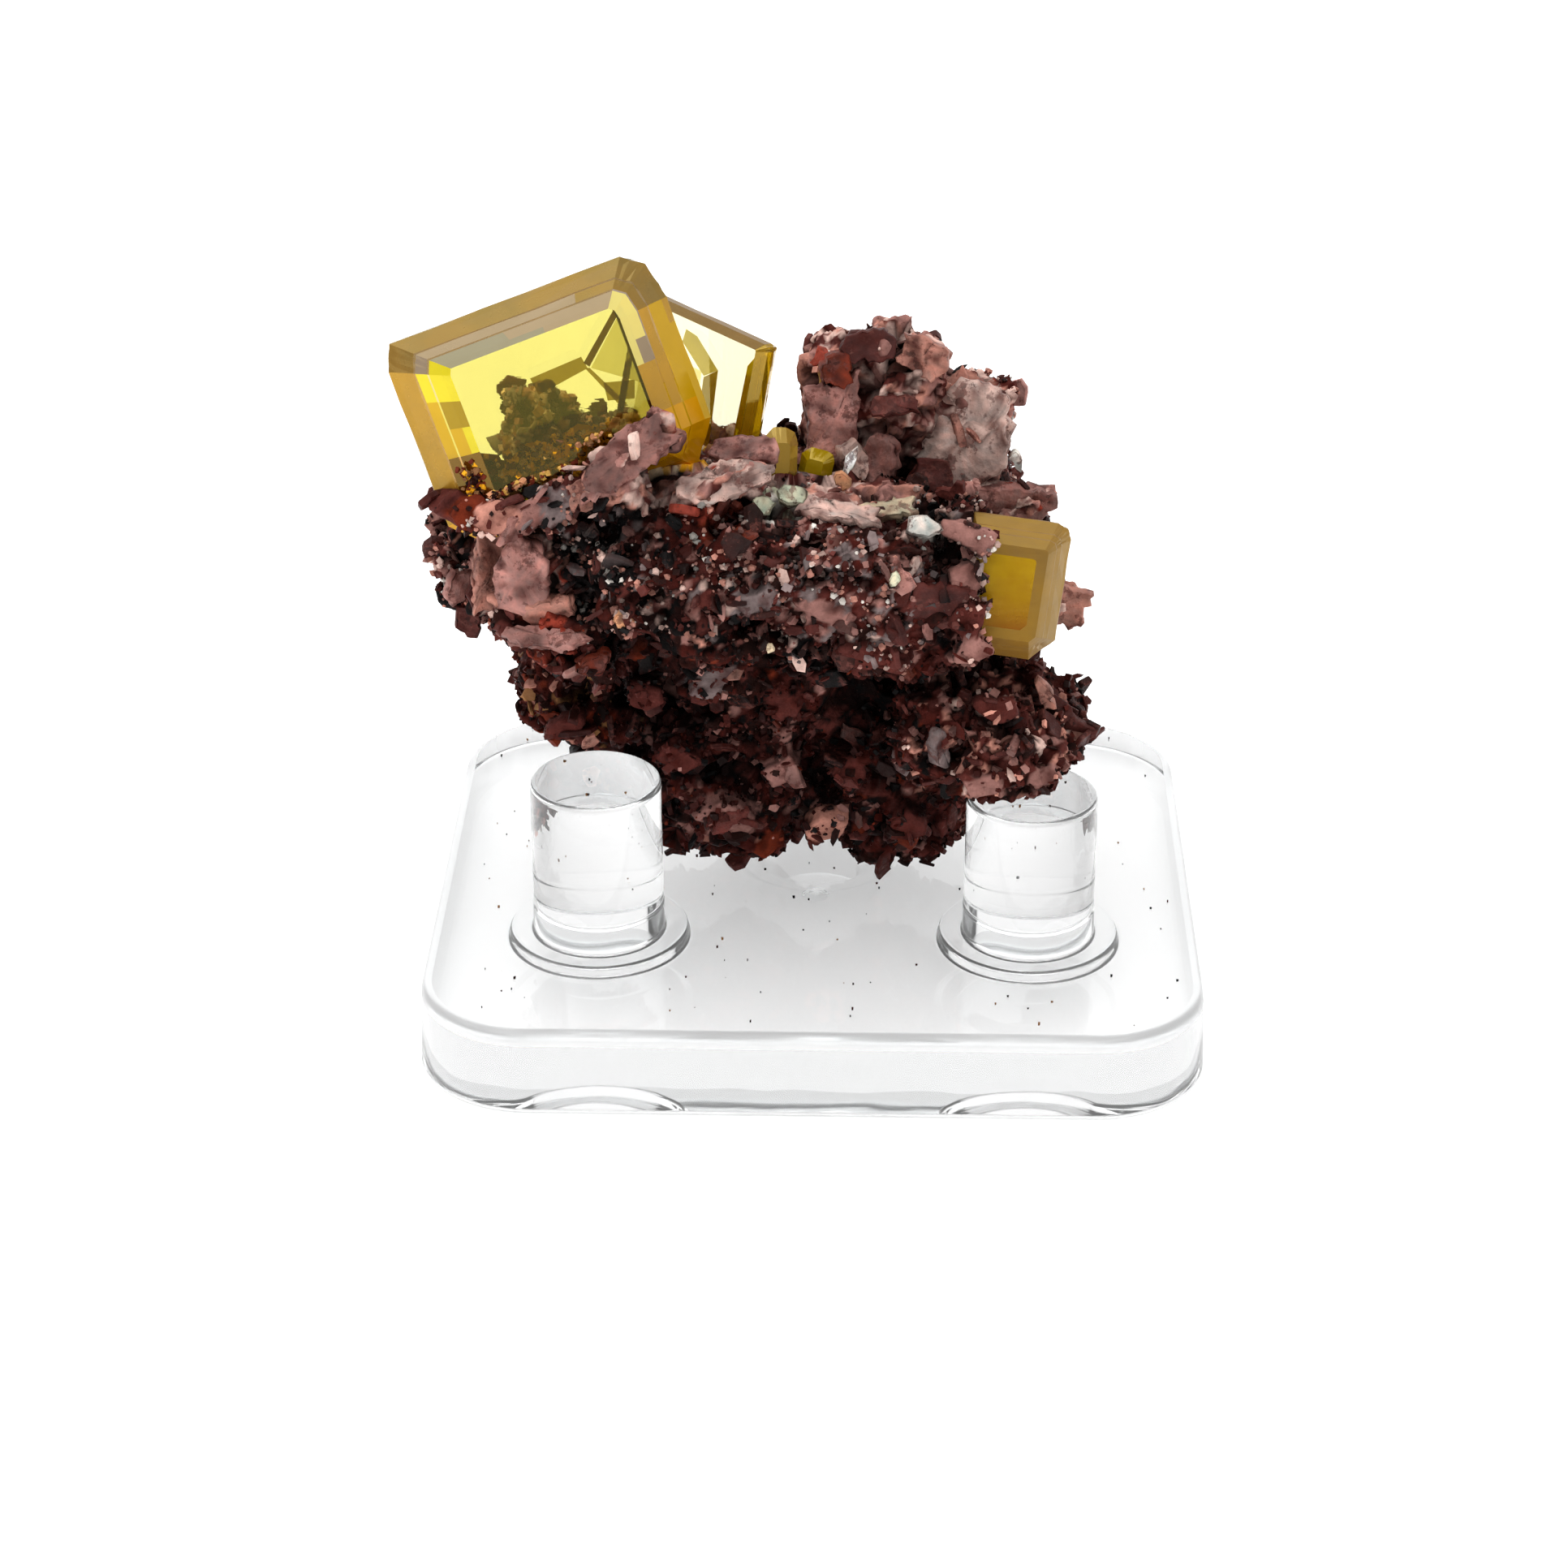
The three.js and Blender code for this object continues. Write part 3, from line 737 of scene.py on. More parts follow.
# Growth lines seen inside a crystal, as thin slabs: outline in the crystal's own x and z, depth and material.
VEIL_THICKNESS = 0.06
VEILS = {
    "wulfenite_main": [
        ([(4.0, 3.3), (4.2, 3.1), (2.05, 1.25), (1.85, 1.5)], -1.5, "tan"),
        ([(-0.7, 1.7), (1.85, 1.8), (1.95, 1.2), (-0.6, 0.85)], -1.3, "olive"),
        ([(4.1, 2.95), (4.3, -0.5), (2.1, 1.15)], -1.2, "pale"),
        ([(2.4, 0.3), (3.8, -0.1), (3.5, -0.9), (2.3, -0.55)], -1.0, "olive"),
        ([(1.85, 1.2), (2.05, 1.15), (3.1, -1.0), (2.8, -1.1)], -0.8, "olive"),
        (
            [(-2.9, -1.4), (-1.9, -1.0), (-0.6, -1.3), (0.6, -1.0), (1.8, -1.6), (1.2, -3.2), (-3.0, -3.2)],
            -1.9, "amber",
        ),
        ([(-5.5, -0.3), (-4.3, -0.6), (-3.3, -1.1), (-3.0, -3.2), (-5.4, -3.2)], -0.9, "brown"),
        ([(-4.6, -0.8), (-3.6, -1.1), (-2.9, -1.5), (-2.7, -3.1), (-4.5, -3.1)], -2.0, "brown"),
    ],
    "wulfenite_rear": [
        ([(-0.4, 3.7), (0.35, 3.6), (2.0, 2.45), (1.2, 1.9), (-0.5, 3.05)], -0.3, "olive"),
        ([(1.2, 1.85), (2.0, 2.45), (2.45, -3.6), (1.5, -3.6)], -0.3, "gold"),
        ([(3.75, 3.3), (4.2, 4.0), (4.2, -3.6), (3.6, -3.6)], -0.3, "gold"),
        ([(-3.4, 2.2), (0.9, 2.0), (1.1, -3.6), (-3.4, -3.6)], 0.1, "pale"),
    ],
}

# Rock grains grown into the foot of the main crystal and over its lower edge: the middle and half size of
# where they lie, in the crystal's own frame, how many there are and their colours.
GRAIN_BEDS = [
    ((-0.9, -2.2, -1.9), (2.6, 0.16, 0.8), 520, ["amber", "amber", "gold", "tan", "rust"]),
    ((-4.4, -2.1, -1.9), (1.0, 0.2, 1.0), 200, ["amber", "rust", "rust", "brown", "tan"]),
    ((-2.9, -2.6, -2.62), (2.8, 0.06, 0.12), 60, ["tan", "rust", "gold", "brown", "peach"]),
    ((0.9, -2.6, -1.9), (0.9, 0.06, 0.2), 20, ["tan", "gold", "peach"]),
]


def inclusions():
    """The grains that show golden through the foot of the main crystal."""
    rng = np.random.default_rng(41)
    points, names = [], []
    for middle, half, count, colours in GRAIN_BEDS:
        points.append(np.array(middle) + np.array(half) * np.clip(rng.normal(0, 0.5, (count, 3)), -1, 1))
        names += list(rng.choice(colours, count))
    points = moved(np.concatenate(points), stood("wulfenite_main"))
    axes = stances(unit(rng.normal(size=points.shape)), 1.0, 0.5, rng)
    sizes = rng.uniform(0.14, 0.36, (len(points), 1)) * rng.uniform(0.5, 1.0, points.shape)
    made = heap("wulfenite_main_grains", CHIP, points, axes, sizes, colours_of(names), 0.14, GRAINS, rng)


def veils(name):
    """Thin slabs with the refraction of what is round them, which show only by their tint."""
    vertices, faces, chosen = [], [], []
    for outline, depth, kind in VEILS[name]:
        points, sides = stacked(outline, [(1, depth), (1, depth + VEIL_THICKNESS)])
        faces += [tuple(i + len(vertices) for i in face) for face in sides]
        chosen += [VEIL_MATERIALS[kind]] * len(sides)
        vertices += points
    made = new_object(name + "_growth_lines", moved(vertices, stood(name)), faces)
    wulfenite_piece(made, chosen)


# ---- the rock

VOXEL = 0.17
ROCK_TRIANGLES = 196000
PEG_CLEAR = 0.12  # how near the rock comes to a peg
BED_REACH = 0.5  # rock this near a crystal grows up to it
BED_PUSH = 0.42
# Left of this the bed takes the bright golden palette, partly its own grains and partly painted light where
# the crystal lets light through.
GOLDEN_LIT_BED_LIMIT = -3.0  # left of here that rock is golden
SKY_RAYS = 10
SKY_REACH = 3.0
# Painted shade in the rock's colours: how light the rock is painted in a cavity, and what the share of open
# sky adds to it.
CAVITY_LIGHT = 0.08
SKY_LIGHT = 1.12
SKY_POWER = 1.9
BLADE_CLEAR = (0.8, 0.35)  # how far the blades keep from the pegs and the crystals
# Grounds where fewer blades and grains are left.
BARE_GROUNDS = ("plates", "tower", "white", "mossy", "shaded_cave")

# Plates that stand out one by one: centre, [length, height, thickness], turns and colour.
BIG_PLATES = [
    # under the main crystal and along the ridge
    ((-8.6, -8.1, 30.0), (6.0, 2.6, 0.9), (-25, -36, 4), "mauve"),
    ((-10.0, -7.7, 28.2), (3.2, 2.2, 0.8), (-30, -20, -8), "pink"),
    ((-4.2, -7.3, 28.5), (5.4, 1.9, 0.9), (-40, -14, 6), "pale"),
    ((-3.4, -5.6, 29.2), (3.6, 1.6, 0.8), (-50, -8, -10), "mauve"),
    ((1.2, -7.3, 26.9), (4.6, 1.3, 0.9), (-60, 6, 0), "pale"),
    ((3.4, -6.4, 26.6), (3.4, 1.2, 0.8), (-60, -6, 8), "cream"),
    # left shoulder and spur
    ((-13.5, -7.9, 24.0), (3.3, 5.0, 0.9), (4, 8, -8), "mauve"),
    ((-15.2, -6.2, 23.6), (2.2, 5.2, 0.8), (0, 10, 24), "pink"),
    ((-12.4, -7.9, 22.2), (2.8, 2.0, 0.8), (20, -10, 0), "pink"),
    ((-12.6, -8.4, 20.9), (4.6, 1.1, 1.0), (-50, 6, 6), "mauve"),
    ((-16.9, -4.8, 22.0), (1.6, 2.4, 0.6), (0, 30, 30), "mauve"),
    ((-16.6, -4.6, 20.0), (1.4, 2.2, 0.5), (0, -30, 10), "plum"),
    ((-10.3, -8.7, 19.9), (2.4, 1.0, 0.8), (10, -24, 0), "rust"),
    # tower
    ((0.7, -1.4, 29.4), (3.2, 5.0, 1.0), (-8, 4, 14), "mauve"),
    ((0.9, -1.3, 31.7), (1.7, 2.3, 1.0), (-10, 10, 8), "rust"),
    ((2.4, -0.6, 32.7), (2.8, 1.7, 1.4), (-14, -8, 0), "plum"),
    ((5.0, -0.7, 32.2), (2.8, 2.0, 1.2), (-14, 25, -10), "pink"),
    ((3.7, -2.2, 30.2), (2.9, 1.2, 1.0), (-35, -10, 0), "plum"),
    ((3.0, -2.2, 27.6), (2.2, 3.4, 0.8), (-6, 14, -34), "mauve"),
    ((1.7, -2.2, 27.4), (1.8, 2.8, 0.8), (-10, -18, 28), "pale"),
    ((7.3, -0.6, 28.1), (4.4, 6.2, 1.1), (-16, 20, -14), "pale"),
    ((5.4, -2.2, 26.4), (2.4, 2.2, 1.0), (-20, 10, 10), "plum"),
    # right tips
    ((9.6, -1.6, 25.2), (4.6, 2.2, 1.1), (0, -3, 0), "mauve"),
    ((11.2, -2.6, 20.4), (4.6, 2.3, 1.1), (0, 4, 0), "pink"),
    ((11.4, -4.7, 15.0), (4.4, 2.0, 1.0), (0, 20, 0), "plum"),
    # shelf
    ((5.4, -9.0, 23.3), (3.4, 3.0, 0.8), (8, 14, 10), "plum"),
    ((5.9, -8.5, 15.4), (1.2, 3.0, 0.6), (0, -16, 50), "grey"),
    ((11.0, -5.6, 17.0), (0.8, 2.8, 0.6), (0, -26, 0), "pink"),
    # back
    ((-4.6, 7.2, 24.4), (4.2, 2.8, 0.9), (40, 10, 8), "mauve"),
    ((3.2, 9.6, 20.4), (3.6, 2.8, 0.9), (10, -20, 0), "pale"),
    ((-5.8, 9.4, 17.0), (3.2, 3.8, 0.9), (-8, 12, -10), "pink"),
    ((5.4, 3.6, 28.6), (2.8, 3.8, 0.9), (12, 8, -14), "mauve"),
    # small bright ones
    ((1.3, -5.7, 27.9), (1.1, 0.9, 0.6), (-10, 20, 0), "peach"),
    ((1.6, -5.0, 28.6), (0.5, 1.7, 0.4), (-10, 24, 0), "white"),
    ((-8.7, -9.9, 22.7), (1.2, 0.8, 0.6), (0, -10, 0), "peach"),
    ((5.0, -7.7, 26.5), (1.9, 1.1, 1.0), (-30, 4, 0), "white"),
    ((9.6, -0.4, 26.8), (0.5, 1.3, 0.4), (0, -10, 0), "white"),
    ((-1.0, -6.8, 27.6), (1.7, 1.0, 0.8), (-40, 10, 0), "green"),
    ((-2.4, -7.2, 27.3), (1.5, 1.1, 0.8), (-30, -14, 0), "green"),
    ((3.7, -9.5, 24.7), (0.6, 1.1, 0.5), (0, 20, 0), "green"),
    ((-2.0, -10.1, 21.4), (0.5, 0.5, 0.4), (0, 20, 0), "cream"),
    # pale yellow on the tower
    ((0.3, -0.9, 31.3), (0.7, 1.5, 0.5), (-10, 6, 10), "gold"),
]
# A plate through its thickness: [how far in from its outline in mm, share of the way out from mid thickness].
SLAB_RINGS = [(0.07, -1.0), (0.0, -0.7), (0.0, 0.7), (0.07, 1.0)]
# The power of its outline: 2 is an oval and more is squarer.
SLAB_SQUARE = 4.0
SMALL_SQUARE = 2.2
CORNER_SHIFT = 0.35  # how far a corner strays, as a share of the angle between corners
CHIPPED = 0.28  # how far its edges are chipped, as a share of their steps
# Rings on the faces of an uneven plate, as shares of its outline, and how uneven it is there in mm.
RELIEF_SHARES = [0.92, 0.8, 0.64, 0.46, 0.28, 0.12]
RELIEF = 0.3
SMALL_RELIEF = 0.4  # as a share of the other
# Plates and lumps fused with the rock: centre, size, turns and colour.
FUSED_PLATES = [
    # shelf
    ((2.6, -8.8, 20.6), (4.2, 2.0, 1.2), (24, 12, 0), "plum"),
    ((-2.6, -9.4, 23.6), (2.8, 1.8, 1.0), (14, -16, 0), "grey"),
    # over the left side of the right crystal
    ((7.2, -7.6, 26.1), (3.2, 1.5, 1.3), (-14, 24, 0), "mauve"),
    ((7.0, -8.3, 24.2), (1.8, 2.0, 1.3), (-10, -10, 10), "mauve"),
    ((7.2, -8.7, 22.4), (2.0, 2.0, 1.3), (-10, 20, 0), "plum"),
    ((7.4, -8.9, 20.9), (2.2, 1.6, 1.3), (-6, -24, 0), "mauve"),
    # shelf again
    ((0.4, -9.2, 23.0), (3.0, 1.2, 1.0), (-20, 24, 10), "mauve"),
    ((-5.6, -8.6, 21.6), (2.4, 1.2, 1.0), (10, -20, 0), "plum"),
    # lower mass
    ((-4.9, -6.2, 18.0), (2.0, 2.8, 1.0), (6, 16, 14), "grey"),
    ((-8.2, -6.0, 17.0), (2.6, 2.0, 1.2), (-10, 30, 0), "plum"),
    ((-12.0, -5.0, 14.8), (2.8, 1.4, 1.2), (10, -14, 0), "plum"),
    ((-1.6, -5.4, 16.4), (2.4, 1.8, 1.0), (0, 40, 0), "plum"),
    ((-6.6, -5.6, 13.4), (2.6, 1.6, 1.2), (0, 20, 0), "plum"),
    ((-4.4, -5.2, 10.2), (3.4, 2.4, 1.2), (20, 12, 10), "mauve"),
    ((-1.5, -4.9, 12.4), (2.4, 2.0, 1.2), (14, -30, 0), "mauve"),
    ((1.6, -5.2, 12.6), (2.2, 2.6, 1.2), (-10, 10, 20), "plum"),
    ((4.4, -5.6, 13.6), (2.0, 3.2, 1.0), (0, -16, 20), "grey"),
    ((4.6, -5.4, 9.6), (2.6, 2.0, 1.2), (10, -20, 0), "plum"),
    ((0.6, -5.1, 9.6), (3.0, 1.8, 1.2), (26, -8, 0), "pink"),
    ((10.2, -8.2, 15.4), (1.8, 1.4, 1.0), (10, 20, 16), "pale"),
    ((8.0, -8.8, 13.8), (2.2, 1.6, 1.2), (10, -20, 0), "mauve"),
    ((8.6, -8.4, 17.6), (2.4, 1.4, 1.0), (0, 16, 0), "plum"),
    # over the foot of the main crystal
    ((-16.9, -6.8, 27.0), (2.4, 2.0, 1.6), (-10, 20, 20), "plum"),
    ((-15.7, -7.8, 26.8), (2.2, 2.2, 1.4), (-20, -20, 10), "rust"),
    ((-14.5, -8.2, 26.9), (2.2, 2.0, 1.2), (-26, 10, 0), "pink"),
    ((-13.3, -8.0, 27.1), (2.2, 2.0, 1.2), (-20, 24, 0), "mauve"),
    ((-12.1, -7.8, 27.4), (2.2, 2.2, 1.2), (-30, -24, -6), "grey"),
    ((-11.2, -7.4, 28.0), (2.0, 1.8, 1.2), (-20, -30, 0), "plum"),
    ((-10.2, -7.0, 28.8), (2.0, 1.8, 1.2), (-20, -36, 0), "maroon"),
    ((-7.0, -6.3, 30.2), (2.2, 1.6, 1.2), (-20, -10, 0), "mauve"),
]
# The layers of a plate: [offset, thickness, size], as shares of the plate's own. A short plate has one.
LAYERS = [(-0.25, 0.5, 1.0), (0.22, 0.5, 0.86)]
ONE_LAYER = [(0.0, 1.0, 1.0)]
SMALL_PLATE = 2.0
# Blades all over the rock: those fused with it and those that stand out crisply. Length and lift are in mm,
# height and thickness are shares of the length, and bare is the share left on bare ground.
LUMPS = {
    "count": 800,
    "length": (0.8, 2.2),
    "height": (0.5, 0.9),
    "thickness": (0.3, 0.5),
    "lift": (-0.2, 0.15),
    "bare": 0.3,
    "outline": {"sides": 7, "ragged": 0.35, "step": 2.0},
}
BLADES = {
    "count": 2100,
    "length": (0.5, 2.2),
    "height": (0.35, 0.8),
    "thickness": (0.12, 0.22),
    "lift": (-0.1, 0.15),
    "bare": 0.25,
    "outline": {"sides": 6, "ragged": 0.4, "step": 0.5},
}
THINNEST_BLADE = 0.16
STAIN = np.array(COLOURS["maroon"])
STAIN_SCALES = (0.7, 1.3, 3.1)  # of the noise, per mm: clouds of light and shade, stains, and fine spots
# Pits in the rock: the noise's scale per mm and its shift, its level round a pit, and the depth in mm.
PITS = [(0.62, (7, 3, 1), 0.14, 3.2), (1.5, (2, 9, 4), 0.22, 1.1)]
# Where the rock is drawn in: centre, radius and depth.
SUNKEN = [
    ((-10.8, 1.0, 29.5), 2.7, 3.6),
    ((-8.2, -7.4, 20.4), 2.4, 1.8),
    ((2.4, -5.2, 15.6), 2.4, 1.8),
    ((-9.2, -7.6, 26.0), 1.5, 1.2),
    ((-10.9, -7.8, 22.6), 1.1, 1.2),
]


def pits(p):
    """How deep the rock's pits are at a point: 0 outside them."""
    reach = [(depth, noise.noise(p * scale + Vector(shift)) - level) for scale, shift, level, depth in PITS]
    return sum(depth * max(0.0, share) for depth, share in reach)


def sunken(p):
    """How far the rock is drawn in at a point."""
    return max(depth * max(0.0, 1 - (p - Vector(centre)).length / radius) for centre, radius, depth in SUNKEN)


def slab(size, sides, ragged, step, rng, relief=0.0, square=SLAB_SQUARE):
    """A broken plate as a closed shell, with a few corners: its length along X and its thickness along Y."""
    angles = (np.arange(sides) + rng.uniform(-CORNER_SHIFT, CORNER_SHIFT, sides)) * 2 * math.pi / sides
    c, s = np.cos(angles), np.sin(angles)
    reach = rng.uniform(1 - ragged, 1.04, sides)
    reach *= (np.abs(c) ** square + np.abs(s) ** square) ** (-1 / square)
    corners = np.stack([reach * c * size[0], reach * s * size[1]], axis=1) / 2
    outline = []
    for k in range(sides):
        here, there = corners[k], corners[(k + 1) % sides]
        runs = max(1, round(np.linalg.norm(there - here) / step))
        for i in range(runs):
            chip = rng.normal(0, CHIPPED * step, 2) if i else 0.0
            outline.append(here + (there - here) * i / runs + chip)
    outline = np.array(outline)
    middle = outline.mean(axis=0)
    away = outline - middle
    reach = np.linalg.norm(away, axis=1)[:, None]
    rings = [(middle + away * np.maximum(0.3, 1 - inset / reach), out) for inset, out in SLAB_RINGS]
    if relief:
        faces = [[(middle + away * share, out) for share in RELIEF_SHARES] for out in (-1.0, 1.0)]
        rings = faces[0][::-1] + rings + faces[1]
    shift = Vector(rng.uniform(-20, 20, 3))
    lofted = []
    for flat, out in rings:
        rise = [relief * noise.noise(Vector((x, out, z)) * 0.9 + shift) for x, z in flat] if relief else 0.0
        level = out * size[2] / 2 + np.array(rise) + np.zeros(len(flat))
        lofted.append([tuple(p) for p in np.stack([flat[:, 0], level, flat[:, 1]], axis=1)])
    return loft(lofted)


class Shells:
    """Closed shells in mm gathered for one mesh, with a colour for each."""

    def __init__(self):
        self.points, self.faces, self.owner, self.colours, self.count = [], [], [], [], 0

    def add(self, points, faces, colour):
        self.faces += [tuple(i + self.count for i in face) for face in faces]
        self.owner += [len(self.colours)] * len(faces)
        self.points.append(points)
        self.colours.append(colour)
        self.count += len(points)

    def add_blades(self, kind, points, normals, colours, rng):
        """Blades of a kind, standing or lying at points on the rock."""
        shortest, longest = kind["length"]
        ranks = rng.random(len(points)) ** 1.7
        turns = stances(normals, 0.7, 0.5, rng)
        for point, normal, colour, turn, rank in zip(points, normals, colours, turns, ranks):
            length = shortest + rank * (longest - shortest)
            height = length * rng.uniform(*kind["height"])
            thickness = max(THINNEST_BLADE, length * rng.uniform(*kind["thickness"]))
            at = point + normal * rng.uniform(*kind["lift"])
            local, faces = slab((length, height, thickness), **kind["outline"], rng=rng)
            self.add(moved(local, Matrix.Translation(at) @ Matrix(turn.tolist()).to_4x4()), faces, colour)


def mesh_arrays(mesh):
    """A mesh's points and normals in its own units, and its triangles."""
    mesh.calc_loop_triangles()
    points = np.empty(len(mesh.vertices) * 3)
    normals = np.empty(len(mesh.vertices) * 3)
    triangles = np.empty(len(mesh.loop_triangles) * 3, np.int32)
    mesh.vertices.foreach_get("co", points)
    mesh.vertices.foreach_get("normal", normals)
    mesh.loop_triangles.foreach_get("vertices", triangles)
    return points.reshape(-1, 3), normals.reshape(-1, 3), triangles.reshape(-1, 3)


def modified(points, faces, kind, **settings):
    """The mesh in mm that a modifier makes of points and faces."""
    mesh = bpy.data.meshes.new("rough")
    mesh.from_pydata(np.asarray(points).tolist(), [], faces)
    carrier = bpy.data.objects.new("rough", mesh)
    bpy.context.scene.collection.objects.link(carrier)
    modifier = carrier.modifiers.new("rough", kind)
    for key, value in settings.items():
        setattr(modifier, key, value)
    made = bpy.data.meshes.new_from_object(carrier.evaluated_get(bpy.context.evaluated_depsgraph_get()))
    bpy.data.objects.remove(carrier)
    return made


def roots(kind, points, triangles, rng):
    """Where blades of a kind grow on the rock, and the normals there."""
    points, normals = surface_samples(points, triangles, kind["count"], rng)
    keep = outside(points, *BLADE_CLEAR)
    keep &= ~on_ground(points, BARE_GROUNDS) | (rng.random(len(points)) < kind["bare"])
    return points[keep], normals[keep]


def grown_shells():
    """The matrix's own form from the CAD, which comes first, with lumps and plates grown all over it."""
    rng = np.random.default_rng(20)
    core, _, triangles = mesh_arrays(frame["nodes"]["matrix"].data)
    core = core / MM
    shells = Shells()
    shells.add(core, [tuple(face) for face in triangles.tolist()], STAIN)
    points, normals = roots(LUMPS, core, triangles, rng)
    colours = tints(points, rng.random(len(points))) * rng.uniform(0.8, 1.15, (len(points), 1))
    shells.add_blades(LUMPS, points, normals, colours, rng)
    for at, size, turn, colour in FUSED_PLATES:
        local, faces = slab(size, 7, 0.35, 1.0, rng)
        shells.add(moved(local, turned(at, turn)), faces, np.array(COLOURS[colour]))
    return shells


def stained(name, shells, smooth, stains):
    """The gathered shells as one mesh, their colours clouded and stained by the rock."""
    points = np.concatenate(shells.points)
    tint = np.concatenate([np.tile(c, (len(p), 1)) for p, c in zip(shells.points, shells.colours)])
    patch = [[noise.noise(Vector(p) * s + Vector((s, 0, 0))) for s in STAIN_SCALES] for p in points]
    wide, middle, fine = np.array(patch).T[:, :, None]
    tint = tint * (1 + 0.7 * wide) * (1 + fine * (0.5, 0.3, 0.25))
    tint = tint + (STAIN - tint) * np.clip(stains * (middle - 0.1) + 0.6 * np.maximum(0, fine), 0, 0.85)
    made = new_object(name, seated(points), shells.faces, smooth, np.clip(tint, 0, 1))
    piece(made, "matrix_rock", [PLATES])


def plates(ground):
    """The big barite plates, each in layers."""
    rng = np.random.default_rng(22)
    shells = Shells()
    for at, size, turn, colour in BIG_PLATES:
        place = turned(at, turn)
        # Painted shade: each plate is darkened by the rock's painted cavity shade at its centre, never below
        # 0.8.
        painted_shade_here = max(0.8, ground["shade"][ground["place"].find(at)[1]])
        small = size[0] < SMALL_PLATE
        relief = RELIEF * (SMALL_RELIEF if small else 1)
        square = SMALL_SQUARE if small else SLAB_SQUARE
        for offset, thick, scale in ONE_LAYER if small else LAYERS:
            whole = (size[0] * scale, size[1] * scale, size[2] * thick)
            local, faces = slab(whole, 8, 0.35, 0.26, rng, relief, square)
            slip = rng.uniform(-0.5, 0.5, 2) * (1 - scale) * size[0]
            local = np.array(local) + (slip[0], offset * size[2], 0.5 * slip[1])
            tint = np.array(COLOURS[colour]) * rng.uniform(0.9, 1.08) * painted_shade_here
            shells.add(moved(local, place), faces, tint)
    stained("barite_plates", shells, True, 1.8)


def blades(ground):
    """The barite blades that stand out from the rock."""
    rng = np.random.default_rng(21)
    shells = Shells()
    points, normals = roots(BLADES, ground["points"], ground["triangles"], rng)
    # Painted shade: each blade takes a random tone and is darkened by the rock's painted cavity shade where
    # it grows.
    sky = ground["shade"][[ground["place"].find(p)[1] for p in points]]
    colours = tints(points, rng.random(len(points))) * (rng.uniform(0.8, 1.3, len(points)) * sky)[:, None]
    shells.add_blades(BLADES, points, normals, colours, rng)
    stained("barite_blades", shells, False, 1.5)


def crystal_distances(points):
    """How far each point in mm lies from the nearest wulfenite."""
    nearest = np.full(len(points), np.inf)
    for name in WULFENITE:
        bm = bmesh.new()
        bm.from_mesh(frame["nodes"][name].data)
        tree = BVHTree.FromBMesh(bm)
        bm.free()
        found = [tree.find_nearest(Vector(p) * MM, 2 * MM)[3] for p in points]
        nearest = np.minimum(nearest, [np.inf if d is None else d / MM for d in found])
    return nearest


def seated(points):
    """Pushes points that have come too near a peg back out of it."""
    for x, y, height in PEG_SPOTS:
        flat = points[:, :2] - (x, y)
        away = np.linalg.norm(flat, axis=1)
        top = BASE["thickness"] + height + PEG_CLEAR
        radius = PEG_RADIUS + PEG_CLEAR
        inside = (away < radius) & (points[:, 2] < top)
        up = top - points[:, 2] < radius - away
        points[inside & up, 2] = top
        out = inside & ~up
        points[out, :2] = (x, y) + flat[out] * (radius / np.maximum(away[out], 0.01))[:, None]
    return points


def places(points):
    """A lookup of the nearest of these points."""
    tree = KDTree(len(points))
    for i, p in enumerate(points):
        tree.insert(p, i)
    tree.balance()
    return tree


def open_sky(points, normals, faces):
    """The share of the sky over each point that the rock leaves open to it."""
    tree = BVHTree.FromPolygons(points.tolist(), faces)
    rays = [Vector(d) * 0.97 for d in unit(np.random.default_rng(9).normal(size=(SKY_RAYS, 3)))]
    share = np.empty(len(points))
    for i, (p, n) in enumerate(zip(points, normals)):
        p, n = Vector(p), Vector(n)
        p += n * 0.06
        share[i] = sum(tree.ray_cast(p, n + d, SKY_REACH)[0] is None for d in rays) / SKY_RAYS
    return share


